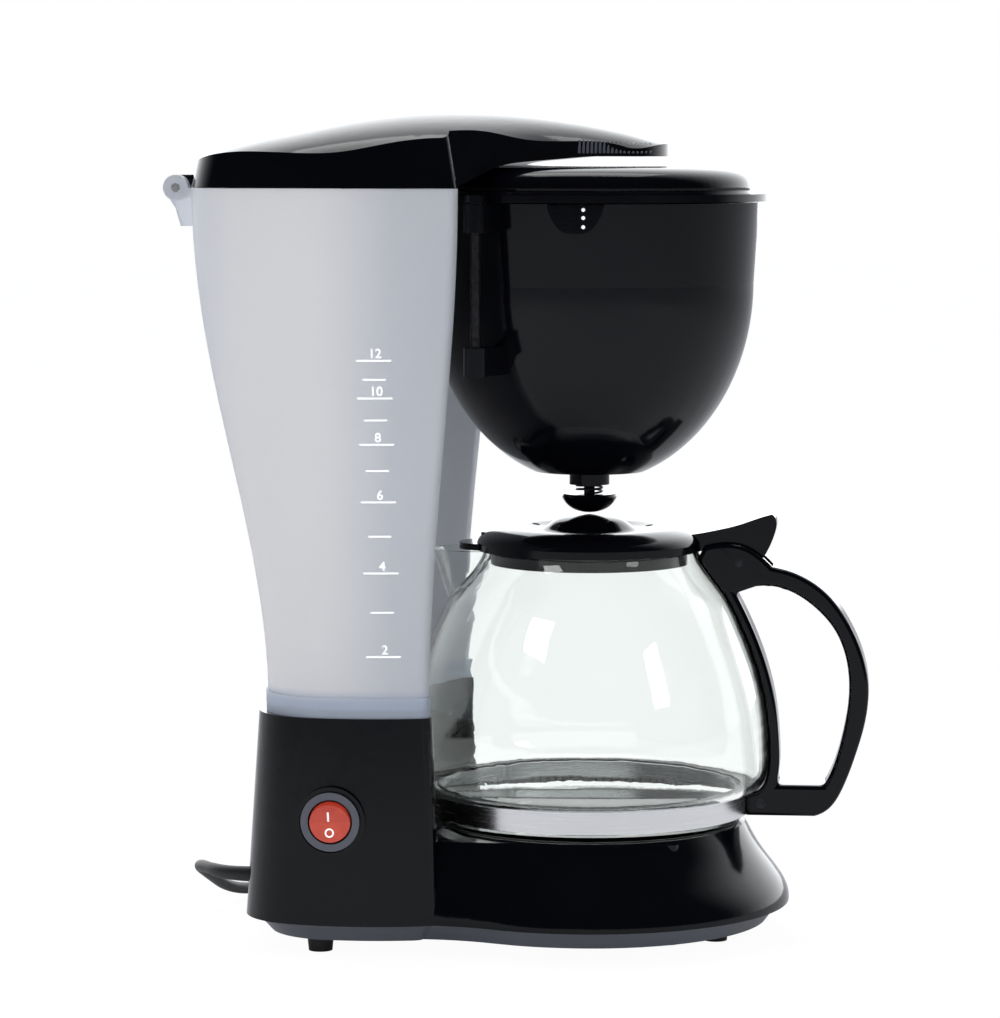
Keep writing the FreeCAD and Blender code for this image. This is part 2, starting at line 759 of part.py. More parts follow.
def water_tank():
    spigot = rod(OUTLET_R, OUTLET_DROP, V(OUTLET_U, OUTLET_V, VALVE_TOP))
    outer = tank_block(TOWER_TOP + TANK_BAND_H, TANK_TOP).fuse(tank_band())
    outer = outer.fuse([spigot, tank_bracket(-1), tank_bracket(1)])
    notch_r = RISER_R + MOVE_GAP
    floor_z = TOWER_TOP + TANK_FLOOR
    cuts = [
        tank_block(floor_z, TANK_TOP, TANK_WALL),
        rod(OUTLET_BORE_R, OUTLET_DROP + TANK_FLOOR, V(OUTLET_U, OUTLET_V, VALVE_TOP)),
        rod(RISER_R + GROMMET_W, TANK_FLOOR, V(RISER_U, 0, TOWER_TOP)),
        block(-WALL_R - 2 * TANK_WALL, -WALL_R + TANK_WALL, -notch_r, notch_r, RISER_Z - notch_r, RISER_Z),
        rod(LID_PIN_R + RUN_GAP, 4 * LID_HINGE_V, lid_axis(-2 * LID_HINGE_V), BACK),
    ]
    return outer.cut(cuts)


# Tank lid with its long tongue
LID_FOOT = TANK_TOP + SEAT_GAP


def lid_crown(drop=0.0):
    """Everything below the lid's crowned top: arches across, set along its length."""
    low = TANK_TOP - 5
    arches = []
    for u, half, below_peak in LID_ARCHES:
        reach = half - drop
        rise = LID_PEAK - drop - below_peak - LID_FOOT
        points = []
        for step in range(-ARCH_STEPS, ARCH_STEPS + 1):
            turn = math.pi / 2 * step / ARCH_STEPS
            side = math.copysign(abs(math.sin(turn)) ** ARCH_POWER, turn)
            points.append(V(u, reach * side, LID_FOOT + rise * math.cos(turn) ** ARCH_POWER))
        arch = Part.BSplineCurve()
        arch.interpolate(points)
        corners = [points[-1], V(u, reach, low), V(u, -reach, low), points[0]]
        arches.append(Part.Wire([arch.toShape()] + Part.makePolygon(corners).Edges))
    return Part.makeLoft(arches, True, False)


def lid_under(grow=0.0):
    """Room under the lid for the brew head, round about the jug axis."""
    low = BASKET_RIM
    line = [
        (WALL_R + grow, LID_FOOT),
        (WALL_R - 6 + grow, LID_FOOT + 2.2 + grow),
        (HEAD_R, HEAD_TOP - 0.6 + grow),
        (0.8 * HEAD_R, HEAD_TOP + 1.6 + grow),
        (0.5 * HEAD_R, HEAD_TOP + 3.6 + grow),
    ]
    end = (0, HEAD_TOP + 4.6 + grow)
    edges = smooth(line) + straight([line[-1], end, (0, low), (WALL_R + grow, low), line[0]])
    return turned(edges)


def tongue(inset=0.0):
    """Upright block on the tongue's plan, with its sides drawn in by inset."""
    z = LID_FOOT
    root = V(SIDE_U / 2 - 2 * TIP_R, inset - 0.84 * TANK_DEPTH_TOP, z)
    side = V(TONGUE_TIP_U, inset - TONGUE_TIP_W, z)
    bends = [root, V(-24, inset - 49, z), V(-2, inset - 34, z), side]
    near = Part.BSplineCurve()
    near.interpolate(bends)
    far = Part.BSplineCurve()
    far.interpolate([mirrored(point) for point in reversed(bends)])
    inner = V(-WALL_R - 2 * LID_WALL, -TONGUE_TIP_W, z)
    plan = Part.Wire([
        Part.makeLine(mirrored(root), mirrored(inner)),
        Part.makeLine(mirrored(inner), inner),
        Part.makeLine(inner, root),
        near.toShape(),
        Part.Arc(side, V(LID_TIP_U - inset, 0, z), mirrored(side)).toShape(),
        far.toShape(),
    ])
    return Part.Face(plan).extrude(UP * (LID_PEAK - LID_FOOT))


def lid_cup(inset=0.0):
    """Upright walls of the lid over the tank, leaning in a little."""
    high = LID_PEAK + 4
    return loft([
        tub_wire(LID_FOOT, TANK_REACH_TOP, TANK_DEPTH_TOP, inset),
        tub_wire(high, TANK_REACH_TOP - LID_LEAN, TANK_DEPTH_TOP - LID_LEAN, inset),
    ])


def lid_ears():
    ears = []
    for side in (-1, 1):
        inner = side * (LID_HINGE_V - BRACKET_W / 2 - MOVE_GAP - LID_EAR_W / 2)
        arm = across(straight([
            (LID_HINGE_U, LID_HINGE_Z + BRACKET_R),
            (LID_HINGE_U, LID_FOOT),
            (LID_WALL - TANK_REACH_TOP, LID_FOOT),
            (LID_WALL - TANK_REACH_TOP, LID_HINGE_Z + BRACKET_R),
            (LID_HINGE_U, LID_HINGE_Z + BRACKET_R),
        ]), LID_EAR_W).translate(V(0, inner, 0))
        eye = rod(BRACKET_R, LID_EAR_W, lid_axis(inner - LID_EAR_W / 2), BACK)
        ears.append(arm.fuse(eye))
    return ears


def tank_lid():
    outer = lid_cup().fuse(tongue()).common(lid_crown())
    outer = outer.cut(lid_under()).fuse(lid_ears())
    hollow = lid_cup(LID_WALL).common(lid_crown(LID_WALL))
    pocket = tongue(TONGUE_WALL).cut(lid_under(TONGUE_WALL)).common(lid_crown(TONGUE_WALL))
    notch_r = RISER_R + 3 * MOVE_GAP
    cuts = [
        block(-WALL_R - 3 * LID_WALL, -HEAD_R, -notch_r, notch_r, BASKET_RIM, RISER_Z + notch_r),
        rod(LID_PIN_R, 4 * LID_HINGE_V, lid_axis(-2 * LID_HINGE_V), BACK),
    ]
    return outer.cut(hollow).cut(pocket).cut(cuts)


def lid_pins():
    inner = LID_HINGE_V - BRACKET_W / 2 - MOVE_GAP - LID_EAR_W
    length = LID_HINGE_V + BRACKET_W / 2 - inner
    return Part.makeCompound([
        rod(LID_PIN_R, length, lid_axis(inner), BACK),
        rod(LID_PIN_R, length, lid_axis(-inner - length), BACK),
    ])


# Brew head
FLANGE_Z = BASKET_RIM + 0.5


def head_dome(drop):
    low = FLANGE_Z
    r = HEAD_R - drop
    top = HEAD_TOP - drop
    shoulder = 0.7 * (HEAD_TOP - FLANGE_Z)
    curve = [(r, top - shoulder), (r - 1.2, top - 0.45 * shoulder), (r - 8, top - 1.0), (r - 20, top)]
    edges = straight([(0, low), (r, low), curve[0]]) + smooth(curve)
    return turned(edges + straight([curve[-1], (0, top), (0, low)]))


def brew_head():
    flange = rod(HEAD_FLANGE_R, HEAD_FLANGE_T, V(0, 0, FLANGE_Z))
    bridge = rod(WALL_R, HEAD_FLANGE_T, V(0, 0, FLANGE_Z)).common(
        block(-WALL_R, 0, -HEAD_BRIDGE_W / 2, HEAD_BRIDGE_W / 2, FLANGE_Z, FLANGE_Z + HEAD_FLANGE_T))
    ear_r = PIVOT_LUG_R
    ear = rod(ear_r, HEAD_FLANGE_T, V(PIVOT_U, PIVOT_V, FLANGE_Z))
    flange_top = FLANGE_Z + HEAD_FLANGE_T
    ear_arm = block(PIVOT_U - 0.5 * ear_r, PIVOT_U + ear_r, PIVOT_V, PIVOT_V / 2, FLANGE_Z, flange_top)
    body = head_dome(0.0).fuse([flange, bridge, ear, ear_arm])
    hole_r = RISER_R + SEAT_GAP
    return body.cut([
        head_dome(HEAD_WALL),
        rod(hole_r, HEAD_R, V(-HEAD_R - 4, 0, RISER_Z), RIGHT),
        rod(PIVOT_PIN_R, HEAD_FLANGE_T, V(PIVOT_U, PIVOT_V, FLANGE_Z)),
    ])


def spray_head():
    roof = HEAD_TOP - HEAD_WALL
    ring_r = SPRAY_R / 2
    body = rod(SPRAY_R, roof - FLANGE_Z, V(0, 0, FLANGE_Z))
    feed = rod(RISER_BORE_R, SPRAY_R, V(-SPRAY_R, 0, RISER_Z), RIGHT)
    ring_low = V(0, 0, RISER_Z - RISER_BORE_R / 2)
    feed_ring = tube(ring_r + RISER_BORE_R, ring_r - RISER_BORE_R / 2, RISER_BORE_R, ring_low)
    cuts = [feed, feed_ring]
    for turn in (0, math.pi / 2, math.pi, 1.5 * math.pi):
        at = V(ring_r * math.cos(turn), ring_r * math.sin(turn), FLANGE_Z)
        cuts.append(rod(RISER_BORE_R / 2, RISER_Z - FLANGE_Z, at))
    return body.cut(cuts)


# Filter basket
def bowl_line(inset):
    """Bowl's side from the flat floor up to the rim, as an ellipse and a nearly upright wall."""
    a = BASKET_A - inset
    b = BASKET_B - inset
    floor_r = BASKET_FLOOR_R
    floor_z = BASKET_MID - b * math.sqrt(1 - (floor_r / a) ** 2)
    low = math.acos(floor_r / a)
    curve = [
        (a * math.cos(low * (1 - i / 5)), BASKET_MID - b * math.sin(low * (1 - i / 5)))
        for i in range(6)
    ]
    return floor_z, curve


def bowl(inset):
    floor_z, curve = bowl_line(inset)
    rim = (BASKET_RIM_R - inset, BASKET_RIM)
    edges = straight([(0, BASKET_RIM), (0, floor_z), curve[0]]) + smooth(curve)
    return turned(edges + straight([curve[-1], rim, (0, BASKET_RIM)]))


def thumb_tab():
    v = -BASKET_RIM_R - 1.5
    half = TAB_W / 2
    top = BASKET_RIM - SEAT_GAP
    edge = ((-1, 0), (-0.8, 0.55), (-0.4, 0.95), (0, 1), (0.4, 0.95), (0.8, 0.55), (1, 0))
    shape = smooth([(half * out, top - TAB_H * drop) for out, drop in edge])
    shape += straight([(half, top), (-half, top)])
    plate = across(shape, TAB_T + 2).translate(V(0, v + TAB_T / 2 + 1, 0))
    dots = [rod(0.9, 1.2, V(0, v - 0.6, top - drop * TAB_H), BACK) for drop in (0.18, 0.45, 0.75)]
    return plate.fuse(dots)


def basket_arm(z, height):
    """Arm from the bowl to its pivot, with an eye for the pin."""
    eye = rod(PIVOT_LUG_R, height, V(PIVOT_U, PIVOT_V, z))
    length = math.hypot(PIVOT_U, PIVOT_V)
    arm = block(BASKET_A - 3 * BASKET_WALL, length, -PIVOT_LUG_R / 2, PIVOT_LUG_R / 2, z, z + height)
    arm.rotate(V(), UP, math.degrees(math.atan2(PIVOT_V, PIVOT_U)))
    return eye.fuse(arm)


def filter_basket():
    arms = [basket_arm(z, PIVOT_LUG_H) for z in (PIVOT_LUG_Z, BASKET_RIM - PIVOT_LUG_H)]
    outer = bowl(0.0).fuse([thumb_tab()] + arms)
    shell = outer.cut(bowl(BASKET_WALL))
    neck_top = NECK_PLATE_Z + NECK_PLATE_T
    neck = rod(NECK_R, neck_top - NECK_END, V(0, 0, NECK_END))
    bore = rod(NECK_BORE_R, NECK_PLATE_Z - NECK_END, V(0, 0, NECK_END))
    stem_hole = rod(STEM_R + MOVE_GAP, NECK_PLATE_T, V(0, 0, NECK_PLATE_Z))
    pin_hole = rod(PIVOT_PIN_R + RUN_GAP, BASKET_RIM, V(PIVOT_U, PIVOT_V, PIVOT_LUG_Z))
    return shell.fuse(neck).cut([bore, stem_hole, pin_hole])


def pivot_pin():
    return rod(PIVOT_PIN_R, FLANGE_Z + HEAD_FLANGE_T - PIVOT_LUG_Z, V(PIVOT_U, PIVOT_V, PIVOT_LUG_Z))


def filter_insert():
    floor_z = bowl_line(BASKET_WALL)[0]
    foot_r = BASKET_FLOOR_R - BASKET_WALL
    slope = FILTER_WALL * 1.2
    wall = turned_line([
        (NECK_R + 2 * FILTER_WALL, floor_z),
        (foot_r, floor_z),
        (FILTER_TOP_R, FILTER_TOP),
        (FILTER_TOP_R - slope, FILTER_TOP),
        (foot_r - slope, floor_z + FILTER_WALL),
        (NECK_R + 2 * FILTER_WALL, floor_z + FILTER_WALL),
    ])
    return wall


# Drip stop
def drip_valve():
    dome = smooth([(0, CAP_BOTTOM), (0.3 * CAP_R, CAP_BOTTOM + 0.3), (0.64 * CAP_R, CAP_BOTTOM + 1.7),
                   (0.88 * CAP_R, CAP_BOTTOM + 4.0), (CAP_R, CAP_EDGE_Z)])
    shape = dome + straight([(CAP_R, CAP_EDGE_Z), (0.95 * CAP_R, CAP_TOP), (0, CAP_TOP), (0, CAP_BOTTOM)])
    stem_top = NECK_PLATE_Z + NECK_PLATE_T + 2 * WASHER_T
    return turned(shape).fuse(rod(STEM_R, stem_top - CAP_TOP, V(0, 0, CAP_TOP)))


def valve_washer():
    return tube(WASHER_R, STEM_R, WASHER_T, V(0, 0, NECK_PLATE_Z + NECK_PLATE_T + MOVE_GAP))


def valve_spring():
    low = CAP_TOP + SPRING_WIRE_R + 0.02
    climb = (NECK_PLATE_Z - SPRING_WIRE_R - 0.02 - low) / (2 * SPRING_TURNS)
    here = V(0, -SPRING_R, low)
    along = V(1, 0, 0)
    aside = V(0, 1, 0)
    edges = []
    for step in range(2 * SPRING_TURNS):
        edge, here = half_turn(here, along, aside, SPRING_R, climb)
        edges.append(edge)
        along = along * -1
        aside = aside * -1
    path = Part.Wire(edges)
    print("spring gap", round(least_gap(path, SPRING_WIRE_R, 3 * SPRING_R), 2))
    return swept(path, SPRING_WIRE_R)


# Jug
JUG_FOOT_Z = PLATE_TOP + SEAT_GAP
BAND_TOP = BAND_Z + BAND_H
BODY_SHARES = (         # outside of the glass: share of the way from rim to belly, share of the height
    (0.870, 0.0125), (0.983, 0.078), (1.0, 0.146), (0.993, 0.208), (0.945, 0.359), (0.836, 0.505),
    (0.616, 0.682), (0.411, 0.807), (0.247, 0.875), (0.048, 0.9635),
)
BODY_LINE = [(JUG_FOOT_R, BAND_TOP + 0.3)]
for out, up in BODY_SHARES:
    place = (JUG_RIM_R + (JUG_BELLY_R - JUG_RIM_R) * out, BAND_TOP + (JUG_RIM_Z - BAND_TOP) * up)
    BODY_LINE.append(tuple(round(size, 1) for size in place))
BODY_LINE.append((JUG_RIM_R, JUG_RIM_Z))
STRAP_POINTS = slice(2, 9)


def shifted(points, inward):
    """Points of a smooth curve moved square to it."""
    curve = Part.BSplineCurve()
    curve.interpolate([V(x, 0, z) for x, z in points])
    moved = []
    for x, z in points:
        along = curve.tangent(curve.parameter(V(x, 0, z)))[0]
        moved.append((x - along.z * inward, z + along.x * inward))
    return moved


def jug_body(inward):
    """Solid inside the glass line, moved inward by the given amount."""
    body = shifted(BODY_LINE, inward)
    body[-1] = (JUG_RIM_R - inward, JUG_RIM_Z)
    body[0] = (JUG_FOOT_R - inward, BODY_LINE[0][1] + max(inward, 0) / 2)
    low = JUG_FOOT_Z + 1.3 * inward
    foot = JUG_FOOT_R - inward
    edges = straight([(0, JUG_RIM_Z), (0, low), (foot - 3, low), (foot, low + 3), body[0]]) + smooth(body)
    return turned(edges + straight([body[-1], (0, JUG_RIM_Z)]))


def spout(inward):
    middle = SPOUT_R - SPOUT_REACH
    low = JUG_RIM_Z - 1.8 * SPOUT_R
    rings = [
        Part.Wire(Part.makeCircle(0.5 * SPOUT_R - inward, V(middle, 0, low))),
        Part.Wire(Part.makeCircle(SPOUT_R - inward, V(middle, 0, JUG_RIM_Z))),
    ]
    return loft(rings)


def jug_glass():
    outer = jug_body(0.0).fuse(spout(0.0))
    return outer.cut(jug_body(JUG_WALL).fuse(spout(JUG_WALL)))


def jug_band():
    return tube(JUG_FOOT_R + BAND_T, JUG_FOOT_R, BAND_H, V(0, 0, BAND_Z))


GRIP_OUTER = (          # outside of the grip, out from the jug's belly
    (11.7, 146.3), (22.0, 139.6), (31.8, 126.5), (37.6, 112.5), (GRIP_REACH, 100.0), (38.2, 88.0),
    (34.6, 74.8), (29.4, 60.9), (24.8, 53.4), (18.2, 49.5),
)
GRIP_INNER = (
    (6.9, 140.2), (17.4, 133.8), (25.8, 124.4), (30.6, 112.0), (31.6, 99.3), (29.2, 82.7), (24.8, 68.0),
    (21.8, GAP_FLOOR),
)
CHEEK = ((-14.0, 6.3), (-6.5, 7.6), (1.5, 6.8), (8.0, 3.2), (13.2, -1.6))
GRIP_ROOT = (6.8, -9.4)


def from_hinge(places):
    """Places given from the hinge of the jug's lid."""
    return [(JUG_LID_HINGE_U + u, JUG_LID_HINGE_Z + z) for u, z in places]


def from_belly(places):
    return [(JUG_BELLY_R + u, z) for u, z in places]


def handle_outline():
    start = (JUG_RIM_R - 0.6, JUG_LID_HINGE_Z - 0.5)
    cheek = from_hinge(CHEEK)
    outer = [cheek[-1]] + from_belly(GRIP_OUTER)
    inside = JUG_FOOT_R - STRAP_T
    low = outer[-1][1]
    floor = [outer[-1], (inside, low), (inside, BAND_TOP - 1), (JUG_FOOT_R + 2, BAND_TOP + 2), start]
    return straight([start, cheek[0]]) + smooth(cheek) + smooth(outer) + straight(floor)


def finger_gap():
    inner = from_hinge([GRIP_ROOT]) + from_belly(GRIP_INNER)
    strap = shifted(BODY_LINE, -STRAP_T)[STRAP_POINTS]
    foot = (strap[0][0], GAP_FLOOR)
    edges = smooth(inner) + straight([inner[-1], foot, strap[0]])
    return edges + smooth(strap) + straight([strap[-1], inner[0]])


def jug_lid_axis(v):
    return V(JUG_LID_HINGE_U, v, JUG_LID_HINGE_Z)


def jug_handle():
    body = across(handle_outline(), HANDLE_W).cut(across(finger_gap(), HANDLE_W))
    slot_z = JUG_LID_HINGE_Z - JUG_LID_EAR_R - MOVE_GAP
    slot_end = from_hinge(CHEEK)[-1][0]
    slot = block(0, slot_end, -CHEEK_SLOT_W / 2, CHEEK_SLOT_W / 2, slot_z, JUG_LID_DOME)
    return body.cut([
        jug_body(-MOVE_GAP),
        rod(JUG_FOOT_R + BAND_T, BAND_H + 2, V(0, 0, BAND_Z - 1)),
        rod(JUG_FOOT_R + 2 * BAND_T, BAND_T, V(0, 0, BAND_TOP - BAND_T / 2)),
        slot,
        rod(JUG_LID_PIN_R, HANDLE_W, jug_lid_axis(-HANDLE_W / 2), BACK),
        rod(SCREW_R, HANDLE_W, V(JUG_FOOT_R + 6, -HANDLE_W / 2, BAND_Z + BAND_H / 2), BACK),
    ])


def band_screw():
    at = V(JUG_FOOT_R + 6, HANDLE_W / 2, BAND_Z + BAND_H / 2)
    return rod(SCREW_R, HANDLE_W, at - BACK * HANDLE_W, BACK).fuse(rod(SCREW_HEAD_R, SCREW_HEAD_T, at, BACK))


def jug_lid_pin():
    return rod(JUG_LID_PIN_R, HANDLE_W, jug_lid_axis(-HANDLE_W / 2), BACK)


LID_TOP_LINE = (        # radius, drop below the top of the dome
    (0, 0), (8, 0.9), (14, 2.7), (19.5, 6.2), (24, 6.2), (32, 5.1), (39, 6.5), (43.5, 9.0), (JUG_LID_R, 11.2),
)
LID_UNDER_LINE = ((32, 7.2), (24, 8.3), (18.5, 7.8), (13, 4.4), (7, 2.6), (0, 2.0))
LEVER_TOP = ((-22.5, 10.4), (-16.5, 11.2), (-8.5, 12.8), (-0.5, 14.8), (7.5, 17.6), (12.9, 19.2))
LEVER_END = ((12.9, 19.2), (14.5, 16.8), (14.1, 12.0), (12.1, 6.6), (8.5, 0.6), (1.5, -4.0))
LEVER_FOOT = ((1.5, -4.0), (-4.5, -1.5))
VENT_TURNS = (0.5, 1.5, 2.6, 3.7, 4.8, 5.8)
LIP_R = 13.0            # lip of the lid over the jug's spout
LIP_T = 2.6
NUB_W = 4.0


def lid_lever(seat):
    foot = [(JUG_LID_HINGE_U + u, z) for u, z in ((-11.5, seat), (-16.5, seat), (-23.5, seat + 3))]
    rest = from_hinge(LEVER_FOOT) + foot + from_hinge(LEVER_TOP[:1])
    return across(smooth(from_hinge(LEVER_TOP)) + smooth(from_hinge(LEVER_END)) + straight(rest), LEVER_W)


def jug_lid():
    seat = JUG_RIM_Z + SEAT_GAP
    skirt = JUG_LID_SKIRT_R
    inner = skirt - JUG_LID_WALL
    top = [(r, JUG_LID_DOME - drop) for r, drop in LID_TOP_LINE]
    under = [(inner, JUG_LID_DOME - 10.8)] + [(r, JUG_LID_DOME - drop) for r, drop in LID_UNDER_LINE]
    foot = seat - JUG_LID_SKIRT
    side = [top[-1], (JUG_LID_R, seat), (skirt, seat), (skirt, foot), (inner, foot), under[0]]
    body = turned(smooth(top) + straight(side) + smooth(under) + straight([under[-1], top[0]]))
    lip = rod(LIP_R, LIP_T, V(-skirt, 0, seat)).cut(rod(skirt, LIP_T, V(0, 0, seat)))
    nub = block(-skirt - NUB_W, -skirt, -NUB_W / 2, NUB_W / 2, seat + 2, seat + 6.5)
    lever = lid_lever(seat)
    ear = rod(JUG_LID_EAR_R, LEVER_W, jug_lid_axis(-LEVER_W / 2), BACK)
    holes = []
    for turn in VENT_TURNS:
        at = V(VENT_RING_R * math.cos(turn), VENT_RING_R * math.sin(turn), seat)
        holes.append(rod(VENT_R, JUG_LID_DOME - seat, at))
    bore = rod(JUG_LID_PIN_R + RUN_GAP, LEVER_W, jug_lid_axis(-LEVER_W / 2), BACK)
    return body.fuse([lip, nub, lever, ear]).cut(holes + [bore])


# Switch
ROCKER_AXIS_V = SWITCH_FACE - 0.4


def switch_body():
    bezel = rod(BEZEL_R, BEZEL_T, switch_axis(SWITCH_FACE - BEZEL_T), BACK)
    body = rod(SWITCH_BODY_R, SWITCH_BODY_L, switch_axis(SWITCH_FACE), BACK)
    opening_r = ROCKER_DRUM_R + ROCKER_GAP
    opening = rod(opening_r, opening_r + BEZEL_T, switch_axis(SWITCH_FACE - BEZEL_T), BACK)
    return bezel.fuse(body).cut(opening)


def switch_rocker():
    at = switch_axis(ROCKER_AXIS_V)
    ball = Part.makeSphere(ROCKER_R, at)
    front = at.y - BEZEL_T
    rise = 2 * ROCKER_R * math.tan(math.radians(ROCKER_DISH))
    keep = Part.Face(Part.makePolygon([
        V(at.x - 2 * ROCKER_R, front, at.z),
        V(at.x - 2 * ROCKER_R, front - rise, at.z + 2 * ROCKER_R),
        V(at.x - 2 * ROCKER_R, at.y + 0.5 * ROCKER_R, at.z + 2 * ROCKER_R),
        V(at.x - 2 * ROCKER_R, at.y + 0.5 * ROCKER_R, at.z - 2 * ROCKER_R),
        V(at.x - 2 * ROCKER_R, front - rise, at.z - 2 * ROCKER_R),
        V(at.x - 2 * ROCKER_R, front, at.z),
    ])).extrude(RIGHT * 4 * ROCKER_R)
    rocker = ball.common(keep)
    rocker.rotate(at, RIGHT, ROCKER_TILT)
    return rocker


def switch_terminals():
    back = SWITCH_FACE + SWITCH_BODY_L
    blades = []
    for z in (SWITCH_Z - 4, SWITCH_Z + 4):
        blades.append(block(SWITCH_U - TERMINAL_W / 2, SWITCH_U + TERMINAL_W / 2, back, back + TERMINAL_L,
                            z - TERMINAL_T / 2, z + TERMINAL_T / 2))
    return Part.makeCompound(blades)


def inner_leads():
    blade = SWITCH_FACE + SWITCH_BODY_L + TERMINAL_L
    entry = SEAT_X - AXIS_X + RELIEF_NECK_L
    routes = [
        [V(SWITCH_U, blade, SWITCH_Z + 4), V(SWITCH_U, blade + 12, SWITCH_Z + 4), V(-WALL_R - 6, -24, 39),
         V(ELEMENT_TAIL_U - 12, -ELEMENT_ARC_R, ELEMENT_Z), V(ELEMENT_TAIL_U, -ELEMENT_ARC_R, ELEMENT_Z)],
        [V(entry, EXIT_V - 1.6, EXIT_Z), V(entry + 9, EXIT_V - 1.6, EXIT_Z), V(-WALL_R - 22, -46, 38),
         V(SWITCH_U, blade + 9, SWITCH_Z - 4), V(SWITCH_U, blade, SWITCH_Z - 4)],
        [V(entry, EXIT_V + 1.6, EXIT_Z), V(entry + 12, EXIT_V + 1.6, EXIT_Z), V(-WALL_R - 6, 8, 24),
         V(ELEMENT_TAIL_U - 14, ELEMENT_ARC_R, ELEMENT_Z), V(ELEMENT_TAIL_U, ELEMENT_ARC_R, ELEMENT_Z)],
    ]
    return Part.makeCompound([swept(bent_path(route), LEAD_R) for route in routes])


# Cord, in the part's own frame
def relief_line(turn):
    """Point and direction of the bent sleeve after a turn away from the housing's end."""
    angle = math.radians(turn)
    middle = V(SEAT_X - RELIEF_FLANGE_T, EXIT_V + RELIEF_BEND_R, EXIT_Z)
    at = middle - V(RELIEF_BEND_R * math.sin(angle), RELIEF_BEND_R * math.cos(angle), 0)
    return at, V(-math.cos(angle), math.sin(angle), 0)


def strain_relief():
    left = SEAT_X - RELIEF_FLANGE_T
    flange = rod(RELIEF_FLANGE_R, RELIEF_FLANGE_T, V(left, EXIT_V, EXIT_Z), RIGHT)
    neck = rod(RELIEF_NECK_R, RELIEF_NECK_L, V(SEAT_X, EXIT_V, EXIT_Z), RIGHT)
    rings = []
    for step in range(RELIEF_STEPS + 1):
        at, along = relief_line(RELIEF_TURN * step / RELIEF_STEPS)
        radius = RELIEF_R + (CORD_R + SEAT_GAP - RELIEF_R) * step / RELIEF_STEPS
        rings.append(Part.Wire(Part.makeCircle(radius, at, along)))
    sleeve = Part.makeLoft(rings, True, False)
    return flange.fuse([neck, sleeve])


def power_cord():
    path = bent_path(CORD_ROUTE, 0.45, "cord")
    body = swept(path, CORD_R)
    plain = path.Length * math.pi * CORD_R ** 2
    print("cord length", round(path.Length), "volume share", round(body.Volume / plain, 4))
    return body


def coil_path():
    here = COIL_START
    along = V(1, 0, 0)
    aside = V(0, 1, 0)
    inward = [COIL_R - COIL_STEP * i for i in range(COIL_HALF_TURNS)]
    turns = [(radius, 0.0) for radius in inward]
    turns.append((inward[-1] - COIL_STEP / 2, COIL_CLIMB))
    turns += [(radius, 0.0) for radius in reversed(inward)]
    edges = []
    for radius, climb in turns:
        edge, here = half_turn(here, along, aside, radius, climb)
        edges.append(edge)
        along = along * -1
        aside = aside * -1
    end = here + along * COIL_TAIL
    edges.append(Part.makeLine(here, end))
    return Part.Wire(edges), end


def cord_coil():
    path = coil_path()[0]
    print("coil length", round(path.Length), "gap", round(least_gap(path, CORD_R, 6 * CORD_R), 2))
    return swept(path, CORD_R)


def cord_tie():
    """Flat loop round all the turns on the right of the coil."""
    middle = COIL_START + V(0, COIL_R, 0)
    outer = COIL_R + CORD_R + MOVE_GAP
    inner = COIL_R - COIL_STEP * (COIL_HALF_TURNS + 1) - CORD_R - MOVE_GAP
    low = 0.0
    top = TABLE_Z + COIL_CLIMB + CORD_R + MOVE_GAP
    half = TIE_W / 2
    band = block(middle.x + inner - TIE_T, middle.x + outer + TIE_T, middle.y - half, middle.y + half,
                 low, top + TIE_T)
    hole = block(middle.x + inner, middle.x + outer, middle.y - half, middle.y + half, low + 0.15, top)
    return band.cut(hole)


def power_plug():
    end = coil_path()[1]
    wide = PLUG_W / 2
    nose = V(end.x - PLUG_L, end.y, end.z)
    rings = []
    for x, half_w, half_h in ((end.x, 4.0, 3.6), (end.x - 0.35 * PLUG_L, 0.6 * wide, 0.75 * end.z),
                              (end.x - 0.7 * PLUG_L, wide, end.z), (nose.x, wide, end.z)):
        rings.append(Part.makePolygon([
            V(x, end.y - half_w, end.z - half_h), V(x, end.y + half_w, end.z - half_h),
            V(x, end.y + half_w, end.z + half_h), V(x, end.y - half_w, end.z + half_h),
            V(x, end.y - half_w, end.z - half_h),
        ]))
    return Part.makeLoft(rings, True, True)


def plug_pins():
    nose = coil_path()[1] - V(PLUG_L, 0, 0)
    return Part.makeCompound([
        rod(PLUG_PIN_R, PLUG_PIN_L, nose + V(-PLUG_PIN_L, side * PLUG_PIN_SPREAD / 2, 0), RIGHT)
        for side in (-1, 1)
    ])


APPLIANCE = (
    base_housing, bottom_cover, rubber_feet, bottom_screws, warming_plate, plate_seal, heater_bar,
    heater_tube, heater_element, heater_clamp, clamp_screw, thermostat, thermal_fuse, check_valve, inlet_hose,
    outlet_hose, hose_clamps, tank_seals, riser_tube, water_tank, tank_lid, lid_pins, brew_head, spray_head,
    filter_basket, pivot_pin, filter_insert, drip_valve, valve_washer, valve_spring, jug_glass, jug_band,
    jug_handle, band_screw, jug_lid_pin, jug_lid, switch_body, switch_rocker, switch_terminals, inner_leads,
)
CORD_PIECES = (strain_relief, power_cord, cord_coil, cord_tie, power_plug, plug_pins)


def save(make, shift):
    shape = make()
    name = make.__name__
    print(name, shape.isValid(), len(shape.Solids), round(shape.Volume))
    shape.translated(shift).exportStep("parts/" + name + ".step")


def main():
    os.makedirs("parts", exist_ok=True)
    for make in APPLIANCE:
        save(make, V(AXIS_X, 0, 0))
    for make in CORD_PIECES:
        save(make, V())


main()
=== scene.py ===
"""Drip coffee maker: finishes, printed scale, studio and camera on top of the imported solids."""

import json
import math

import bmesh
import bpy
from mathutils import Matrix, Vector
from mathutils.bvhtree import BVHTree


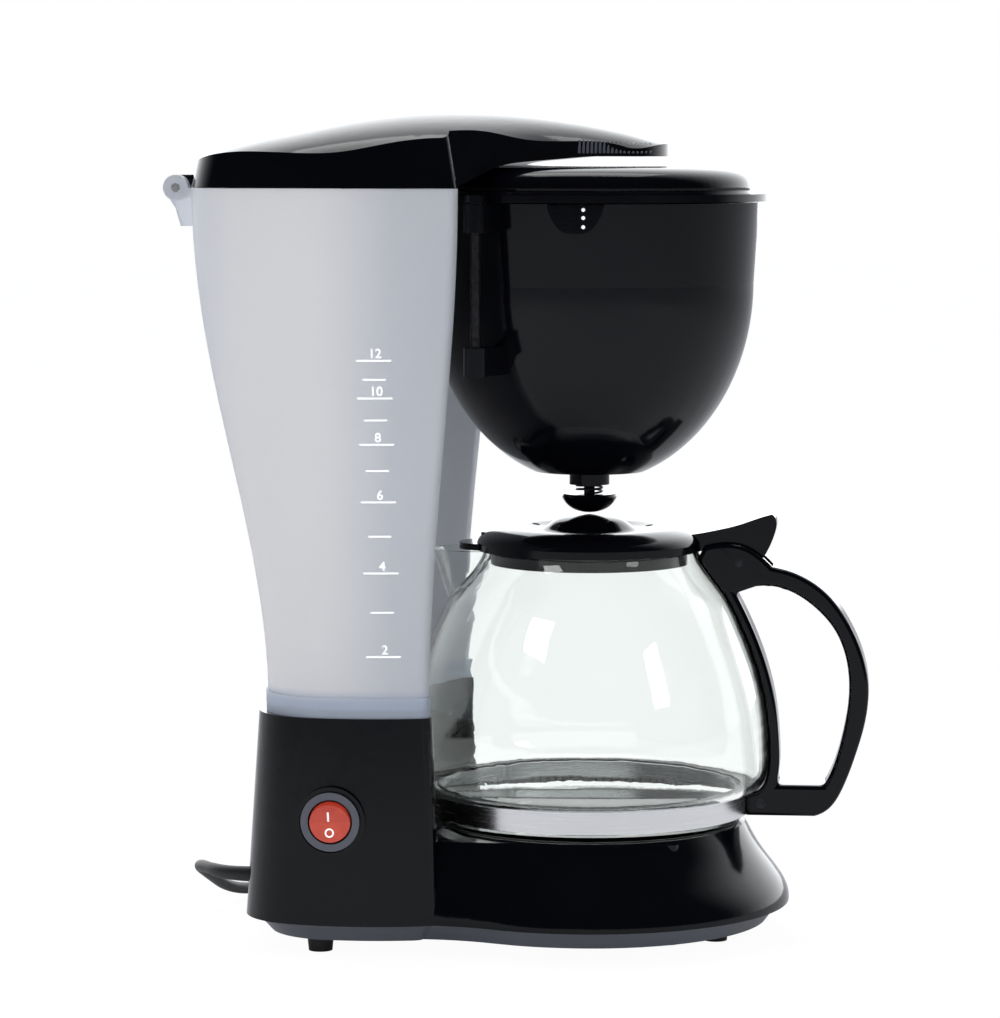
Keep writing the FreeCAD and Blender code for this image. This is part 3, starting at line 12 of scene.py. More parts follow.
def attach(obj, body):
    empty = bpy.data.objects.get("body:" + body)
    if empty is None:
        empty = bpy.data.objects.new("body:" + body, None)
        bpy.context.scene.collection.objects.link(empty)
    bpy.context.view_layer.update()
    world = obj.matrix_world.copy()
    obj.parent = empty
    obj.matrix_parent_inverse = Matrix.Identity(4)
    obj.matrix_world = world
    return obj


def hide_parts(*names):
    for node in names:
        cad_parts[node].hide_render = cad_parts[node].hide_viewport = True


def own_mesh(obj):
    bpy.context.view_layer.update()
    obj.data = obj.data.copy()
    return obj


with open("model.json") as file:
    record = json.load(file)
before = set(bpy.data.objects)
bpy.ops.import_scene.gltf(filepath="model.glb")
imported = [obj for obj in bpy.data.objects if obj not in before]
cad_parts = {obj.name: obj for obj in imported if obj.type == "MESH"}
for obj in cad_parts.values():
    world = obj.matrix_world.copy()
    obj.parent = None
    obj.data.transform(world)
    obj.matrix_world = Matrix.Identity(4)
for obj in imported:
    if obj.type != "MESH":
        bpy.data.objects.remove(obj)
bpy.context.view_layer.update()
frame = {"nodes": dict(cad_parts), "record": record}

# Sizes of pieces are in mm, and those of the camera, the lamps and the floor in metres

MM = 0.001
AXIS_X = 25.9       # the jug's axis, along X
SHARP_ANGLE = math.radians(35.0)    # faces that meet more steeply than this keep a sharp edge
RIM_ANGLE = math.radians(60.0)      # edges steeper than this are rims that get rounded
UPRIGHT = Matrix.Rotation(math.radians(90.0), 4, "X")       # stands a flat form up, facing the user


def link(name, data):
    """A new object in the scene."""
    obj = bpy.data.objects.new(name, data)
    bpy.context.scene.collection.objects.link(obj)
    return obj


# Camera

CAMERA_PLACE = (0.1572, -1.5920, 0.3185)
CAMERA_TILT = 84.73     # degrees from looking straight down
CAMERA_TURN = 6.0       # degrees to the left
CAMERA_LENS = 141.45
CAMERA_SENSOR = 36.0
CAMERA_REACH = 50.0

camera = link("camera", bpy.data.cameras.new("camera"))
camera.location = CAMERA_PLACE
camera.rotation_euler = (math.radians(CAMERA_TILT), 0.0, math.radians(CAMERA_TURN))
camera.data.lens = CAMERA_LENS
camera.data.sensor_width = CAMERA_SENSOR
camera.data.clip_end = CAMERA_REACH
bpy.context.scene.camera = camera
bpy.context.scene.view_settings.view_transform = "Standard"


# Shader maths

class Socket:
    """A node socket that takes part in plain arithmetic; each operation adds its Math node."""

    def __init__(self, shader, socket):
        self.shader = shader
        self.socket = socket

    def maths(self, operation, *values):
        return self.shader.node("ShaderNodeMath", {"operation": operation}, dict(enumerate(values)))

    def __add__(self, other):
        return self.maths("ADD", self, other)

    def __mul__(self, other):
        return self.maths("MULTIPLY", self, other)

    def most(self, other):
        return self.maths("MAXIMUM", self, other)

    __radd__ = __add__
    __rmul__ = __mul__


class Shader:
    """A node tree whose nodes are added by node()."""

    def __init__(self, owner):
        owner.use_nodes = True
        self.tree = owner.node_tree
        self.tree.nodes.clear()

    def node(self, kind, settings=None, inputs=None, out=0):
        """A node with its settings, then the values or links of its sockets; gives one of its outputs."""
        made = self.tree.nodes.new(kind)
        for name, value in (settings or {}).items():
            if name == "stops":
                self.stops(made.color_ramp, value)
            else:
                setattr(made, name, value)
        for name, value in (inputs or {}).items():
            if isinstance(value, Socket):
                self.tree.links.new(value.socket, made.inputs[name])
            else:
                made.inputs[name].default_value = value
        return Socket(self, made.outputs[out])

    def stops(self, ramp, stops):
        while len(ramp.elements) < len(stops):
            ramp.elements.new(1.0)
        for element, (place, colour) in zip(ramp.elements, stops):
            element.position = place
            element.color = (*colour, 1.0)

    def part(self, vector, axis):
        """A vector's X, Y or Z."""
        return self.node("ShaderNodeSeparateXYZ", None, {0: vector}, out=axis)

    def rays(self, *kinds):
        """1 where the ray is of one of these kinds."""
        seen = self.node("ShaderNodeLightPath", out=kinds[0])
        for kind in kinds[1:]:
            seen = seen.most(self.node("ShaderNodeLightPath", out=kind))
        return seen


class Finish(Shader):
    """One procedural material on the piece's own coordinates."""

    def __init__(self, name):
        self.material = bpy.data.materials.new(name)
        super().__init__(self.material)
        self.output = self.tree.nodes.new("ShaderNodeOutputMaterial")
        self.place = self.node("ShaderNodeTexCoord", out="Object")

    def stretched(self, scale):
        return self.node("ShaderNodeMapping", None, {"Vector": self.place, "Scale": scale})

    def noise(self, scale, detail=2.0, roughness=0.5, at=None):
        return self.node("ShaderNodeTexNoise", None, {
            "Vector": at or self.place, "Scale": scale, "Detail": detail, "Roughness": roughness,
        })

    def ramp(self, value, *stops):
        return self.node("ShaderNodeValToRGB", {"stops": stops}, {"Fac": value})

    def rise(self, value, low, high):
        """Goes from 0 to 1 as the value goes from low to high, both in mm."""
        return self.node("ShaderNodeMapRange", None, {
            "Value": value, "From Min": low * MM, "From Max": high * MM,
        })

    def mixed(self, share, first, second):
        """Goes from the first colour to the second; the numbers are the node's colour sockets."""
        return self.node("ShaderNodeMix", {"data_type": "RGBA"}, {0: share, 6: first, 7: second}, out=2)

    def bump(self, height, strength, distance):
        return self.node("ShaderNodeBump", None, {
            "Height": height, "Strength": strength, "Distance": distance,
        })

    def surface(self, **sockets):
        """Principled surface; the names are the sockets' own with _ for a space."""
        inputs = {name.replace("_", " "): value for name, value in sockets.items()}
        shader = self.node("ShaderNodeBsdfPrincipled", None, inputs, out="BSDF")
        self.tree.links.new(shader.socket, self.output.inputs["Surface"])
        return self.material


# Finishes

def gloss_black():
    """Polished black moulding: faint flow marks and fine scratches in the gloss."""
    finish = Finish("gloss_black")
    cloud = finish.noise(14.0, 3.0)
    peel = finish.noise(420.0, 2.0)
    scratch = finish.noise(60.0, 4.0, 0.7, at=finish.stretched((1.0, 9.0, 0.6)))
    return finish.surface(
        Base_Color=finish.ramp(cloud, (0.3, (0.0010, 0.0012, 0.0022)), (0.75, (0.0024, 0.0027, 0.0044))),
        Roughness=0.06 + cloud * 0.05 + scratch * 0.05,
        IOR=1.3,
        Normal=finish.bump(peel, 0.04, 0.0002),
    )


def satin_grey():
    """Fine spark-eroded grey plastic."""
    finish = Finish("satin_grey")
    grain = finish.noise(1600.0, 3.0, 0.6)
    cloud = finish.noise(20.0, 2.0)
    return finish.surface(
        Base_Color=finish.ramp(cloud, (0.3, (0.075, 0.080, 0.100)), (0.8, (0.095, 0.100, 0.122))),
        Roughness=0.26 + grain * 0.14,
        Normal=finish.bump(grain, 0.2, 0.00008),
    )


TANK_SHADE_SPAN = (-130.0, -35.0)     # the stretch along X over which the tank's wall goes from painted shade at its ends to painted light in its middle
SKIRT_EDGE = (101.0, 106.0)     # the heights between which the skirt's darker, bluer colour ends


def frosted_plastic():
    """Milky polypropylene with faint flow lines from the moulding, painted shade towards the wall's ends
    along X and painted light across its middle, and a darker, bluer skirt at its foot.
    """
    finish = Finish("frosted_plastic")
    flow = finish.noise(9.0, 3.0, 0.5, at=finish.stretched((1.0, 1.0, 0.25)))
    grain = finish.noise(1300.0, 2.0)
    along = finish.rise(finish.part(finish.place, "X"), *TANK_SHADE_SPAN)
    above_skirt = finish.rise(finish.part(finish.place, "Z"), *SKIRT_EDGE)
    # painted shade towards both ends of the wall along X, and painted light, near white, across its middle
    wall = finish.ramp(
        along + flow * 0.2,
        (0.08, (0.80, 0.83, 0.89)), (0.35, (0.97, 0.965, 0.97)), (0.75, (0.96, 0.955, 0.965)),
        (1.0, (0.80, 0.82, 0.86)),
    )
    return finish.surface(
        Base_Color=finish.mixed(above_skirt, (0.60, 0.67, 0.79, 1.0), wall),
        Roughness=0.42 + flow * 0.12,
        Transmission_Weight=0.5,
        IOR=1.36,
        Normal=finish.bump(grain, 0.1, 0.0001),
    )


def clear_glass():
    """Blown glass: slight waves in the wall."""
    finish = Finish("clear_glass")
    wave = finish.noise(16.0, 2.0)
    return finish.surface(
        Base_Color=finish.ramp(wave, (0.2, (0.955, 0.985, 0.975)), (0.8, (0.975, 0.995, 0.988))),
        Roughness=wave * 0.012,
        Transmission_Weight=1.0,
        IOR=1.47,
        Normal=finish.bump(wave, 0.01, 0.001),
    )


def brushed_steel():
    """Steel strip brushed along its length."""
    finish = Finish("brushed_steel")
    brush = finish.noise(30.0, 5.0, 0.7, at=finish.stretched((1.0, 1.0, 60.0)))
    return finish.surface(
        Base_Color=finish.ramp(brush, (0.25, (0.66, 0.66, 0.67)), (0.8, (0.84, 0.84, 0.85))),
        Metallic=1.0,
        Roughness=0.2 + brush * 0.12,
        Normal=finish.bump(brush, 0.08, 0.0002),
    )


def wire_steel():
    """Drawn wire and small turned steel parts."""
    finish = Finish("wire_steel")
    draw = finish.noise(700.0, 2.0)
    return finish.surface(
        Base_Color=finish.ramp(draw, (0.3, (0.55, 0.55, 0.56)), (0.8, (0.72, 0.72, 0.73))),
        Metallic=1.0,
        Roughness=0.22 + draw * 0.12,
        Normal=finish.bump(draw, 0.06, 0.0001),
    )


def blackened_steel():
    """Steel pins and spring with a black oxide skin."""
    finish = Finish("blackened_steel")
    skin = finish.noise(500.0, 3.0, 0.6)
    return finish.surface(
        Base_Color=finish.ramp(skin, (0.3, (0.020, 0.020, 0.023)), (0.8, (0.060, 0.060, 0.066))),
        Metallic=1.0,
        Roughness=0.26 + skin * 0.15,
        Normal=finish.bump(skin, 0.08, 0.0001),
    )


def cast_aluminium():
    """Dull casting with a fine grain."""
    finish = Finish("cast_aluminium")
    grain = finish.noise(350.0, 4.0, 0.65)
    return finish.surface(
        Base_Color=finish.ramp(grain, (0.25, (0.52, 0.53, 0.54)), (0.8, (0.70, 0.71, 0.72))),
        Metallic=1.0,
        Roughness=0.35 + grain * 0.2,
        Normal=finish.bump(grain, 0.2, 0.0002),
    )


def plain_brass():
    """Stamped brass, a little tarnished."""
    finish = Finish("plain_brass")
    tarnish = finish.noise(180.0, 3.0, 0.6)
    return finish.surface(
        Base_Color=finish.ramp(tarnish, (0.25, (0.52, 0.36, 0.13)), (0.8, (0.76, 0.58, 0.27))),
        Metallic=1.0,
        Roughness=0.2 + tarnish * 0.2,
        Normal=finish.bump(tarnish, 0.08, 0.0001),
    )


def coated_plate():
    """Dark non-stick coat with fine pale flecks."""
    finish = Finish("coated_plate")
    fleck = finish.noise(900.0, 2.0, 0.5)
    return finish.surface(
        Base_Color=finish.ramp(fleck, (0.6, (0.018, 0.018, 0.019)), (0.72, (0.07, 0.07, 0.07))),
        Roughness=0.42 + fleck * 0.15,
        Normal=finish.bump(fleck, 0.15, 0.0001),
    )


def black_rubber():
    """Moulded rubber and cord sheath."""
    finish = Finish("black_rubber")
    grain = finish.noise(1100.0, 3.0, 0.6)
    bloom = finish.noise(40.0, 2.0)
    return finish.surface(
        Base_Color=finish.ramp(bloom, (0.3, (0.010, 0.010, 0.011)), (0.8, (0.022, 0.022, 0.024))),
        Roughness=0.45 + grain * 0.2,
        Normal=finish.bump(grain, 0.2, 0.0001),
    )


def milky_hose():
    """Silicone hose, slightly clouded."""
    finish = Finish("milky_hose")
    cloud = finish.noise(120.0, 3.0)
    return finish.surface(
        Base_Color=finish.ramp(cloud, (0.3, (0.62, 0.62, 0.58)), (0.8, (0.76, 0.76, 0.73))),
        Roughness=0.4 + cloud * 0.15,
        Transmission_Weight=0.2,
        Normal=finish.bump(cloud, 0.1, 0.0002),
    )


def white_plastic():
    """Plain moulded plastic of the inner parts."""
    finish = Finish("white_plastic")
    grain = finish.noise(900.0, 3.0)
    cloud = finish.noise(25.0, 2.0)
    return finish.surface(
        Base_Color=finish.ramp(cloud, (0.3, (0.66, 0.66, 0.62)), (0.8, (0.74, 0.74, 0.70))),
        Roughness=0.32 + grain * 0.15,
        Normal=finish.bump(grain, 0.12, 0.0001),
    )


def lit_red():
    """Translucent red of the rocker, a little deeper in places."""
    finish = Finish("lit_red")
    cloud = finish.noise(160.0, 2.0)
    return finish.surface(
        Base_Color=finish.ramp(cloud, (0.3, (0.62, 0.045, 0.020)), (0.8, (0.78, 0.085, 0.035))),
        Roughness=0.14 + cloud * 0.08,
        Transmission_Weight=0.15,
        Coat_Weight=0.3 + cloud * 0.2,
        Normal=finish.bump(cloud, 0.04, 0.0002),
    )


def glowing_print():
    """Screen-printed ink, thin in places, with a painted glow that keeps it bright whatever light falls on
    it.
    """
    finish = Finish("glowing_print")
    speck = finish.noise(1500.0, 3.0, 0.6)
    return finish.surface(
        Base_Color=finish.ramp(speck, (0.25, (0.80, 0.80, 0.82)), (0.6, (0.93, 0.93, 0.94))),
        Roughness=0.45 + speck * 0.15,
        # painted light: the ink glows a little, brighter where it is thick
        Emission_Color=finish.ramp(speck, (0.2, (0.80, 0.80, 0.82)), (0.5, (0.98, 0.98, 1.0))),
        Emission_Strength=0.35,
        Normal=finish.bump(speck, 0.1, 0.00005),
    )


BLACK = gloss_black()
GREY = satin_grey()
FROSTED = frosted_plastic()
GLASS = clear_glass()
BAND = brushed_steel()
STEEL = wire_steel()
DARK_STEEL = blackened_steel()
ALUMINIUM = cast_aluminium()
BRASS = plain_brass()
PLATE = coated_plate()
RUBBER = black_rubber()
HOSE = milky_hose()
WHITE = white_plastic()
RED = lit_red()
GLOWING_PRINT = glowing_print()


# Power cord: its route, then the turns of the coil behind the base

CORD_ROUTE = (
    (-124.1, -21.04, 26.0), (-134.2, -6.6, 26.0), (-132.0, 16.0, 17.0), (-128.5, 40.0, 7.0),
    (-119.0, 62.0, 2.6), (-103.0, 82.0, 2.6), (-80.0, 97.0, 2.6), (-54.0, 107.0, 2.6),
    (-32.0, 112.0, 2.6), (-8.0, 112.0, 2.6),
)
# radius and climb of each half turn
COIL_TURNS = ((28.0, 0.0), (25.0, 0.0), (22.0, 0.0), (20.5, 5.6), (22.0, 0.0), (25.0, 0.0), (28.0, 0.0))
COIL_TAIL = 36.0        # straight run from the coil to the plug
TURN_POINTS = 8         # points in each half turn
CORD_R = 2.4


def coil_points(start):
    """Half turns that spiral in, climb a layer and spiral out again, then the run to the plug."""
    here = Vector(start)
    way = 1.0
    points = []
    for radius, climb in COIL_TURNS:
        reach = radius / math.cos(math.pi / (2 * TURN_POINTS))
        for step in range(TURN_POINTS):
            part = (step + 0.5) / TURN_POINTS
            side = way * reach * math.sin(math.pi * part)
            across = way * (radius - reach * math.cos(math.pi * part))
            points.append(here + Vector((side, across, climb * part)))
        here = here + Vector((0.0, way * 2 * radius, climb))
        way = -way
    points.append(here + Vector((way * COIL_TAIL / 2, 0.0, 0.0)))
    points.append(here + Vector((way * COIL_TAIL, 0.0, 0.0)))
    return points


def power_lead():
    """The cord as one smooth line, from its sleeve through the coil to the plug."""
    curve = bpy.data.curves.new("power_lead", "CURVE")
    curve.dimensions = "3D"
    curve.bevel_depth = CORD_R * MM
    curve.bevel_resolution = 5
    curve.resolution_u = 6
    route = [Vector(point) for point in CORD_ROUTE] + coil_points(CORD_ROUTE[-1])
    spline = curve.splines.new("NURBS")
    spline.points.add(len(route) - 1)
    for point, place in zip(spline.points, route):
        point.co = (*(place * MM), 1.0)
    spline.order_u = 3
    spline.use_endpoint_u = True
    curve.materials.append(RUBBER)
    return link("power_lead", curve)


# Pieces that keep a solid's form

BODY_OF = {node: body for body, nodes in frame["record"]["behaviour"]["bodies"].items() for node in nodes}
WELD_REACH = 0.002      # corners nearer than this are one
SLIVER = 0.0001         # edges shorter than this are taken out
SIDE_REACH = 0.01       # how far a corner may lie from a flat side that it belongs to
SIDE_FACING = 0.9999    # how squarely a face of a flat side looks along Y
SIDE_BEND = math.radians(0.5)       # faces of a flat side that bend less than this become one
LONG_OUTLINE = 100.0    # outlines shorter than this, such as a screw hole's, stay as they are
HANDLE_ROUND = 1.8      # radius along the handle's long edges


def finished(form, name, finish):
    """Closes a bmesh into a smooth-shaded object with sharp edges where faces meet steeply."""
    mesh = bpy.data.meshes.new(name)
    form.to_mesh(mesh)
    form.free()
    mesh.materials.append(finish)
    mesh.shade_smooth()
    mesh.set_sharp_from_angle(angle=SHARP_ANGLE)
    return link(name, mesh)


def edge_loops(edges):
    """The edges, taken apart into the loops that hang together."""
    left = set(edges)
    loops = []
    while left:
        loop = []
        ahead = [left.pop()]
        while ahead:
            edge = ahead.pop()
            loop.append(edge)
            near = {other for vert in edge.verts for other in vert.link_edges} & left
            left -= near
            ahead += near
        loops.append(loop)
    return loops


def outline_length(loop):
    return sum(edge.calc_length() for edge in loop)


def round_sides(form, width):
    """Rounds the long outlines of a piece's flat near and far sides."""
    form.normal_update()
    reach = max(vert.co.y for vert in form.verts)
    inner = [edge for edge in form.edges
             if all(abs(face.normal.y) > SIDE_FACING for face in edge.link_faces)]
    bmesh.ops.dissolve_limit(form, angle_limit=SIDE_BEND, verts=[], edges=inner)
    outline = set()
    for edge in form.edges:
        on_side = all(abs(vert.co.y) > reach - SIDE_REACH * MM for vert in edge.verts)
        if on_side and edge.calc_face_angle(0.0) > RIM_ANGLE:
            outline.add(edge)
    long_loops = [loop for loop in edge_loops(outline) if outline_length(loop) > LONG_OUTLINE * MM]
    bmesh.ops.bevel(form, geom=sum(long_loops, []), offset=width * MM, offset_type="OFFSET", segments=4,
                    profile=0.5, affect="EDGES", clamp_overlap=False, material=-1)


def dressed(node, finish, round_edge=0.0):
    """A welded copy of a solid with the solid's own normals, or with its flat sides' outlines rounded."""
    source = frame["nodes"][node].data
    form = bmesh.new()
    form.from_mesh(source)
    facing_out = form.loops.layers.float_vector.new("facing_out")
    for face, polygon in zip(form.faces, source.polygons):
        for loop, corner in zip(face.loops, polygon.loop_indices):
            loop[facing_out] = source.corner_normals[corner].vector
    bmesh.ops.remove_doubles(form, verts=form.verts, dist=WELD_REACH * MM)
    bmesh.ops.dissolve_degenerate(form, edges=form.edges, dist=SLIVER * MM)
    if round_edge:
        round_sides(form, round_edge)
    piece = finished(form, node + "_piece", finish)
    mesh = piece.data
    if round_edge:
        piece.modifiers.new("even_normals", "WEIGHTED_NORMAL").keep_sharp = True
    else:
        mesh.normals_split_custom_set([entry.vector for entry in mesh.attributes["facing_out"].data])
    mesh.attributes.remove(mesh.attributes["facing_out"])
    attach(piece, BODY_OF[node])
    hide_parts(node)
    return piece


def painted(finish, *nodes):
    """Solids that stay as they are and take a finish."""
    for node in nodes:
        mesh = frame["nodes"][node].data
        mesh.materials.clear()
        mesh.materials.append(finish)


lead = power_lead()
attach(lead, "chassis")
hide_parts("power_cord", "cord_coil")
plug = dressed("power_plug", RUBBER)
pins = dressed("plug_pins", BRASS)
tie = dressed("cord_tie", RUBBER)
sleeve = dressed("strain_relief", RUBBER)

for black_node in ("base_housing", "tank_lid", "brew_head", "filter_basket", "jug_lid", "drip_valve"):
    dressed(black_node, BLACK)
dressed("jug_handle", BLACK, round_edge=HANDLE_ROUND)
for grey_node in ("bottom_cover", "switch_body"):
    dressed(grey_node, GREY)
for rubber_node in ("rubber_feet", "plate_seal"):
    dressed(rubber_node, RUBBER)
for pin_node in ("pivot_pin", "jug_lid_pin", "band_screw"):
    dressed(pin_node, DARK_STEEL)
spring = dressed("valve_spring", DARK_STEEL)
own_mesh(spring)
dressed("lid_pins", STEEL)
dressed("water_tank", FROSTED)
dressed("jug_glass", GLASS)
dressed("jug_band", BAND)
dressed("warming_plate", PLATE)
dressed("switch_rocker", RED)
for white_node in ("riser_tube", "spray_head", "filter_insert"):
    dressed(white_node, WHITE)
painted(STEEL, "bottom_screws", "heater_clamp", "clamp_screw", "hose_clamps", "heater_element")
painted(ALUMINIUM, "heater_bar", "heater_tube")
painted(BRASS, "switch_terminals")
painted(RUBBER, "tank_seals", "valve_washer", "inner_leads")
painted(HOSE, "inlet_hose", "outlet_hose")
painted(WHITE, "thermostat", "thermal_fuse", "check_valve")


# Where a solid's near side lies

TREES = {}
IN_FRONT = -400.0       # a place along Y that is nearer than any piece


def surface_at(node, x, z):
    """Where a solid's near side is at a place given as mm across and up, and which way it faces."""
    if node not in TREES:
        mesh = frame["nodes"][node].data
        corners = [vert.co for vert in mesh.vertices]
        TREES[node] = BVHTree.FromPolygons(corners, [face.vertices for face in mesh.polygons])
    start = Vector((x, IN_FRONT, z)) * MM
    place, normal, _, _ = TREES[node].ray_cast(start, Vector((0.0, 1.0, 0.0)))
    if place is None:
        raise ValueError(f"{node} has no surface at {x}, {z}")
    return place, normal


# Printed level scale on the tank's near face

INK_LIFT = 0.1
SCALE_LEAN = 2.0 / 115.4        # the scale steps right by this share as it goes down
LONG_MARKS = {"12": 234.6, "10": 220.1, "8": 202.2, "6": 179.8, "4": 152.0, "2": 119.2}
SHORT_MARKS = (227.3, 211.6, 192.0, 166.4, 136.6)
LONG_MARK = (13.4, 0.75)        # length and thickness
SHORT_MARK = (8.9, 0.7)
MARK_STEPS = 10                 # faces along a mark, so that it follows the tank
MARKS_MIDDLE = -76.2            # from the jug's axis, at the top mark
NUMBERS_MIDDLE = -75.6
NUMBER_HEIGHT = 3.5
NUMBER_RISE = 1.1               # from the middle of a mark to the foot of its number
FIGURE_SHARE = 0.7              # a figure's height as a share of its type size
STROKE_GAIN = 0.11              # how much wider the strokes are drawn on each side


def on_tank(point):
    """The place just in front of the tank for a point given as mm from the jug's axis and mm up."""
    place, normal = surface_at("water_tank", point.x + AXIS_X, point.z)
    return place + normal * INK_LIFT * MM


def number_mesh(words):
    """A number as a flat mesh, centred on X."""
    curve = bpy.data.curves.new("words", "FONT")
    curve.body = words
    curve.size = NUMBER_HEIGHT / FIGURE_SHARE
    curve.align_x = "CENTER"
    curve.offset = STROKE_GAIN
    holder = link("words", curve)
    depsgraph = bpy.context.evaluated_depsgraph_get()
    mesh = bpy.data.meshes.new_from_object(holder.evaluated_get(depsgraph))
    bpy.data.objects.remove(holder)
    bpy.data.curves.remove(curve)
    return mesh


def scale_shift(height):
    return (LONG_MARKS["12"] - height) * SCALE_LEAN


def level_scale():
    """Long marks with their numbers and short marks between them, laid on the tank."""
    form = bmesh.new()
    marks = [(height, *LONG_MARK) for height in LONG_MARKS.values()]
    marks += [(height, *SHORT_MARK) for height in SHORT_MARKS]
    for height, length, thick in marks:
        middle = Matrix.Translation((MARKS_MIDDLE + scale_shift(height), 0.0, height))
        place = middle @ UPRIGHT @ Matrix.Diagonal((length / 2, thick / 2, 1.0, 1.0))
        bmesh.ops.create_grid(form, x_segments=MARK_STEPS, y_segments=1, size=1.0, matrix=place)
    for words, height in LONG_MARKS.items():
        foot = Matrix.Translation((NUMBERS_MIDDLE + scale_shift(height), 0.0, height + NUMBER_RISE))
        number = number_mesh(words)
        number.transform(foot @ UPRIGHT)
        form.from_mesh(number)
        bpy.data.meshes.remove(number)
    for vert in form.verts:
        vert.co = on_tank(vert.co)
    piece = finished(form, "level_scale", GLOWING_PRINT)
    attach(piece, "chassis")


level_scale()


# Small raised details, set on the surface they belong to

def facing(place, normal):
    """A frame on the surface: X across, Z up along the surface, -Y out of it."""
    out = -normal
    across = out.cross(Vector((0.0, 0.0, 1.0))).normalized()
    up = across.cross(out)
    turn = Matrix((across, out, up)).transposed().to_4x4()
    return Matrix.Translation(place) @ turn


def sized(x, y, z):
    """Stretches a form of unit size to these sizes."""
    return Matrix.Diagonal((x * MM, y * MM, z * MM, 1.0))


def added(form, name, finish, body):
    """A new piece that rides on a body and takes its finish from a slot."""
    bmesh.ops.recalc_face_normals(form, faces=form.faces)
    piece = finished(form, name, finish)
    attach(piece, body)


RIB_COUNT = 18
RIB_FIRST, RIB_LAST = -1.5, 25.0    # from the jug's axis
RIB_LOW, RIB_HIGH = 313.2, 318.6    # heights of the first rib's ends
RIB_END_DROP = 1.4      # the ribs' upper ends follow the tongue's falling top line
RIB_R = 0.62
RIB_END_ROUND = 0.25


def finger_ribs():
    """Upright ribs of the finger grip along the near edge of the lid's tongue, in lighter grey than the
    black lid as a painted highlight.
    """
    form = bmesh.new()
    for count in range(RIB_COUNT):
        part = count / (RIB_COUNT - 1)
        x = AXIS_X + RIB_FIRST + (RIB_LAST - RIB_FIRST) * part
        low = surface_at("tank_lid", x, RIB_LOW)[0]
        high = surface_at("tank_lid", x, RIB_HIGH - RIB_END_DROP * part)[0]
        axis = high - low
        place = Matrix.Translation((low + high) / 2) @ axis.to_track_quat("Z", "Y").to_matrix().to_4x4()
        bar = bmesh.ops.create_cone(form, cap_ends=True, segments=10, radius1=RIB_R * MM,
                                    radius2=RIB_R * MM, depth=axis.length, matrix=place)
        rims = [edge for edge in form.edges if edge.verts[0] in bar["verts"] and len(edge.link_faces) == 2
                and edge.calc_face_angle(0.0) > RIM_ANGLE]
        bmesh.ops.bevel(form, geom=rims, offset=RIB_END_ROUND * MM, offset_type="OFFSET", segments=2,
                        profile=0.5, affect="EDGES", material=-1)
    # painted highlight: the ribs take the lighter grey finish in place of the lid's black
    added(form, "finger_ribs", GREY, "tank_lid")


DOT_X = 29.0
DOT_HEIGHTS = (292.0, 288.9, 285.4)
DOT_R = 0.75
DOT_RISE = 0.5


def tab_dots():
    """Three raised dots on the basket's thumb tab."""
    form = bmesh.new()
    for height in DOT_HEIGHTS:
        place, normal = surface_at("filter_basket", DOT_X, height)
        dot = facing(place, normal) @ sized(DOT_R, DOT_RISE, DOT_R)
        bmesh.ops.create_icosphere(form, subdivisions=3, radius=1.0, matrix=dot)
    added(form, "tab_dots", GLOWING_PRINT, "filter_basket")


BAR_PLACE = (-69.0, 57.6)       # along X and up
BAR_SIZE = (0.75, 0.24, 3.9)
BAR_ROUND = 0.06
RING_PLACE = (-68.6, 51.2)
RING_R = 1.5
RING_HALF_WIDTH = 0.32
RING_RISE = 0.13


def rocker_marks():
    """The bar and the ring moulded on the rocker."""
    form = bmesh.new()
    bar = facing(*surface_at("switch_rocker", *BAR_PLACE)) @ sized(*BAR_SIZE)
    bmesh.ops.create_cube(form, size=1.0, matrix=bar)
    bmesh.ops.bevel(form, geom=form.edges[:], offset=BAR_ROUND * MM, offset_type="OFFSET", segments=2,
                    profile=0.5, affect="EDGES", material=-1)
    ring = facing(*surface_at("switch_rocker", *RING_PLACE))
    start = ring @ Matrix.Translation((RING_R * MM, 0.0, 0.0)) @ sized(RING_HALF_WIDTH, RING_RISE, 1.0)
    profile = bmesh.ops.create_circle(form, segments=8, radius=1.0, matrix=start)["verts"]
    hoop = [edge for edge in form.edges if edge.verts[0] in profile and edge.verts[1] in profile]
    bmesh.ops.spin(form, geom=profile + hoop, cent=ring.translation, axis=ring.to_3x3().col[1],
                   angle=math.tau, steps=40, use_merge=True)
    added(form, "rocker_marks", GLOWING_PRINT, "switch_rocker")


finger_ribs()
tab_dots()
rocker_marks()


# Studio

WHITE_LIGHT = (1.0, 1.0, 1.0, 1.0)
ROOM_COLOUR = (0.93, 0.95, 1.0, 1.0)
ROOM_LIGHT = 0.6
MIRROR_COLOUR = (0.96, 0.98, 1.0, 1.0)
MIRROR_LIGHT = (0.035, 3.0)     # how bright a reflection is in front and behind
MIRROR_FULL = 0.85              # how far behind, as a direction's Y, it is at its brightest
MIRROR_ABOVE = 0.1              # how much the way up counts beside the way back
FLOOR_HALF = 9.0
FLOOR_GLOW = 1.035
GLOW_SEEN = 0.93                # share of the floor's light that is its own glow, where it is seen
GLOW_MIRRORED = 0.1             # the same in reflections


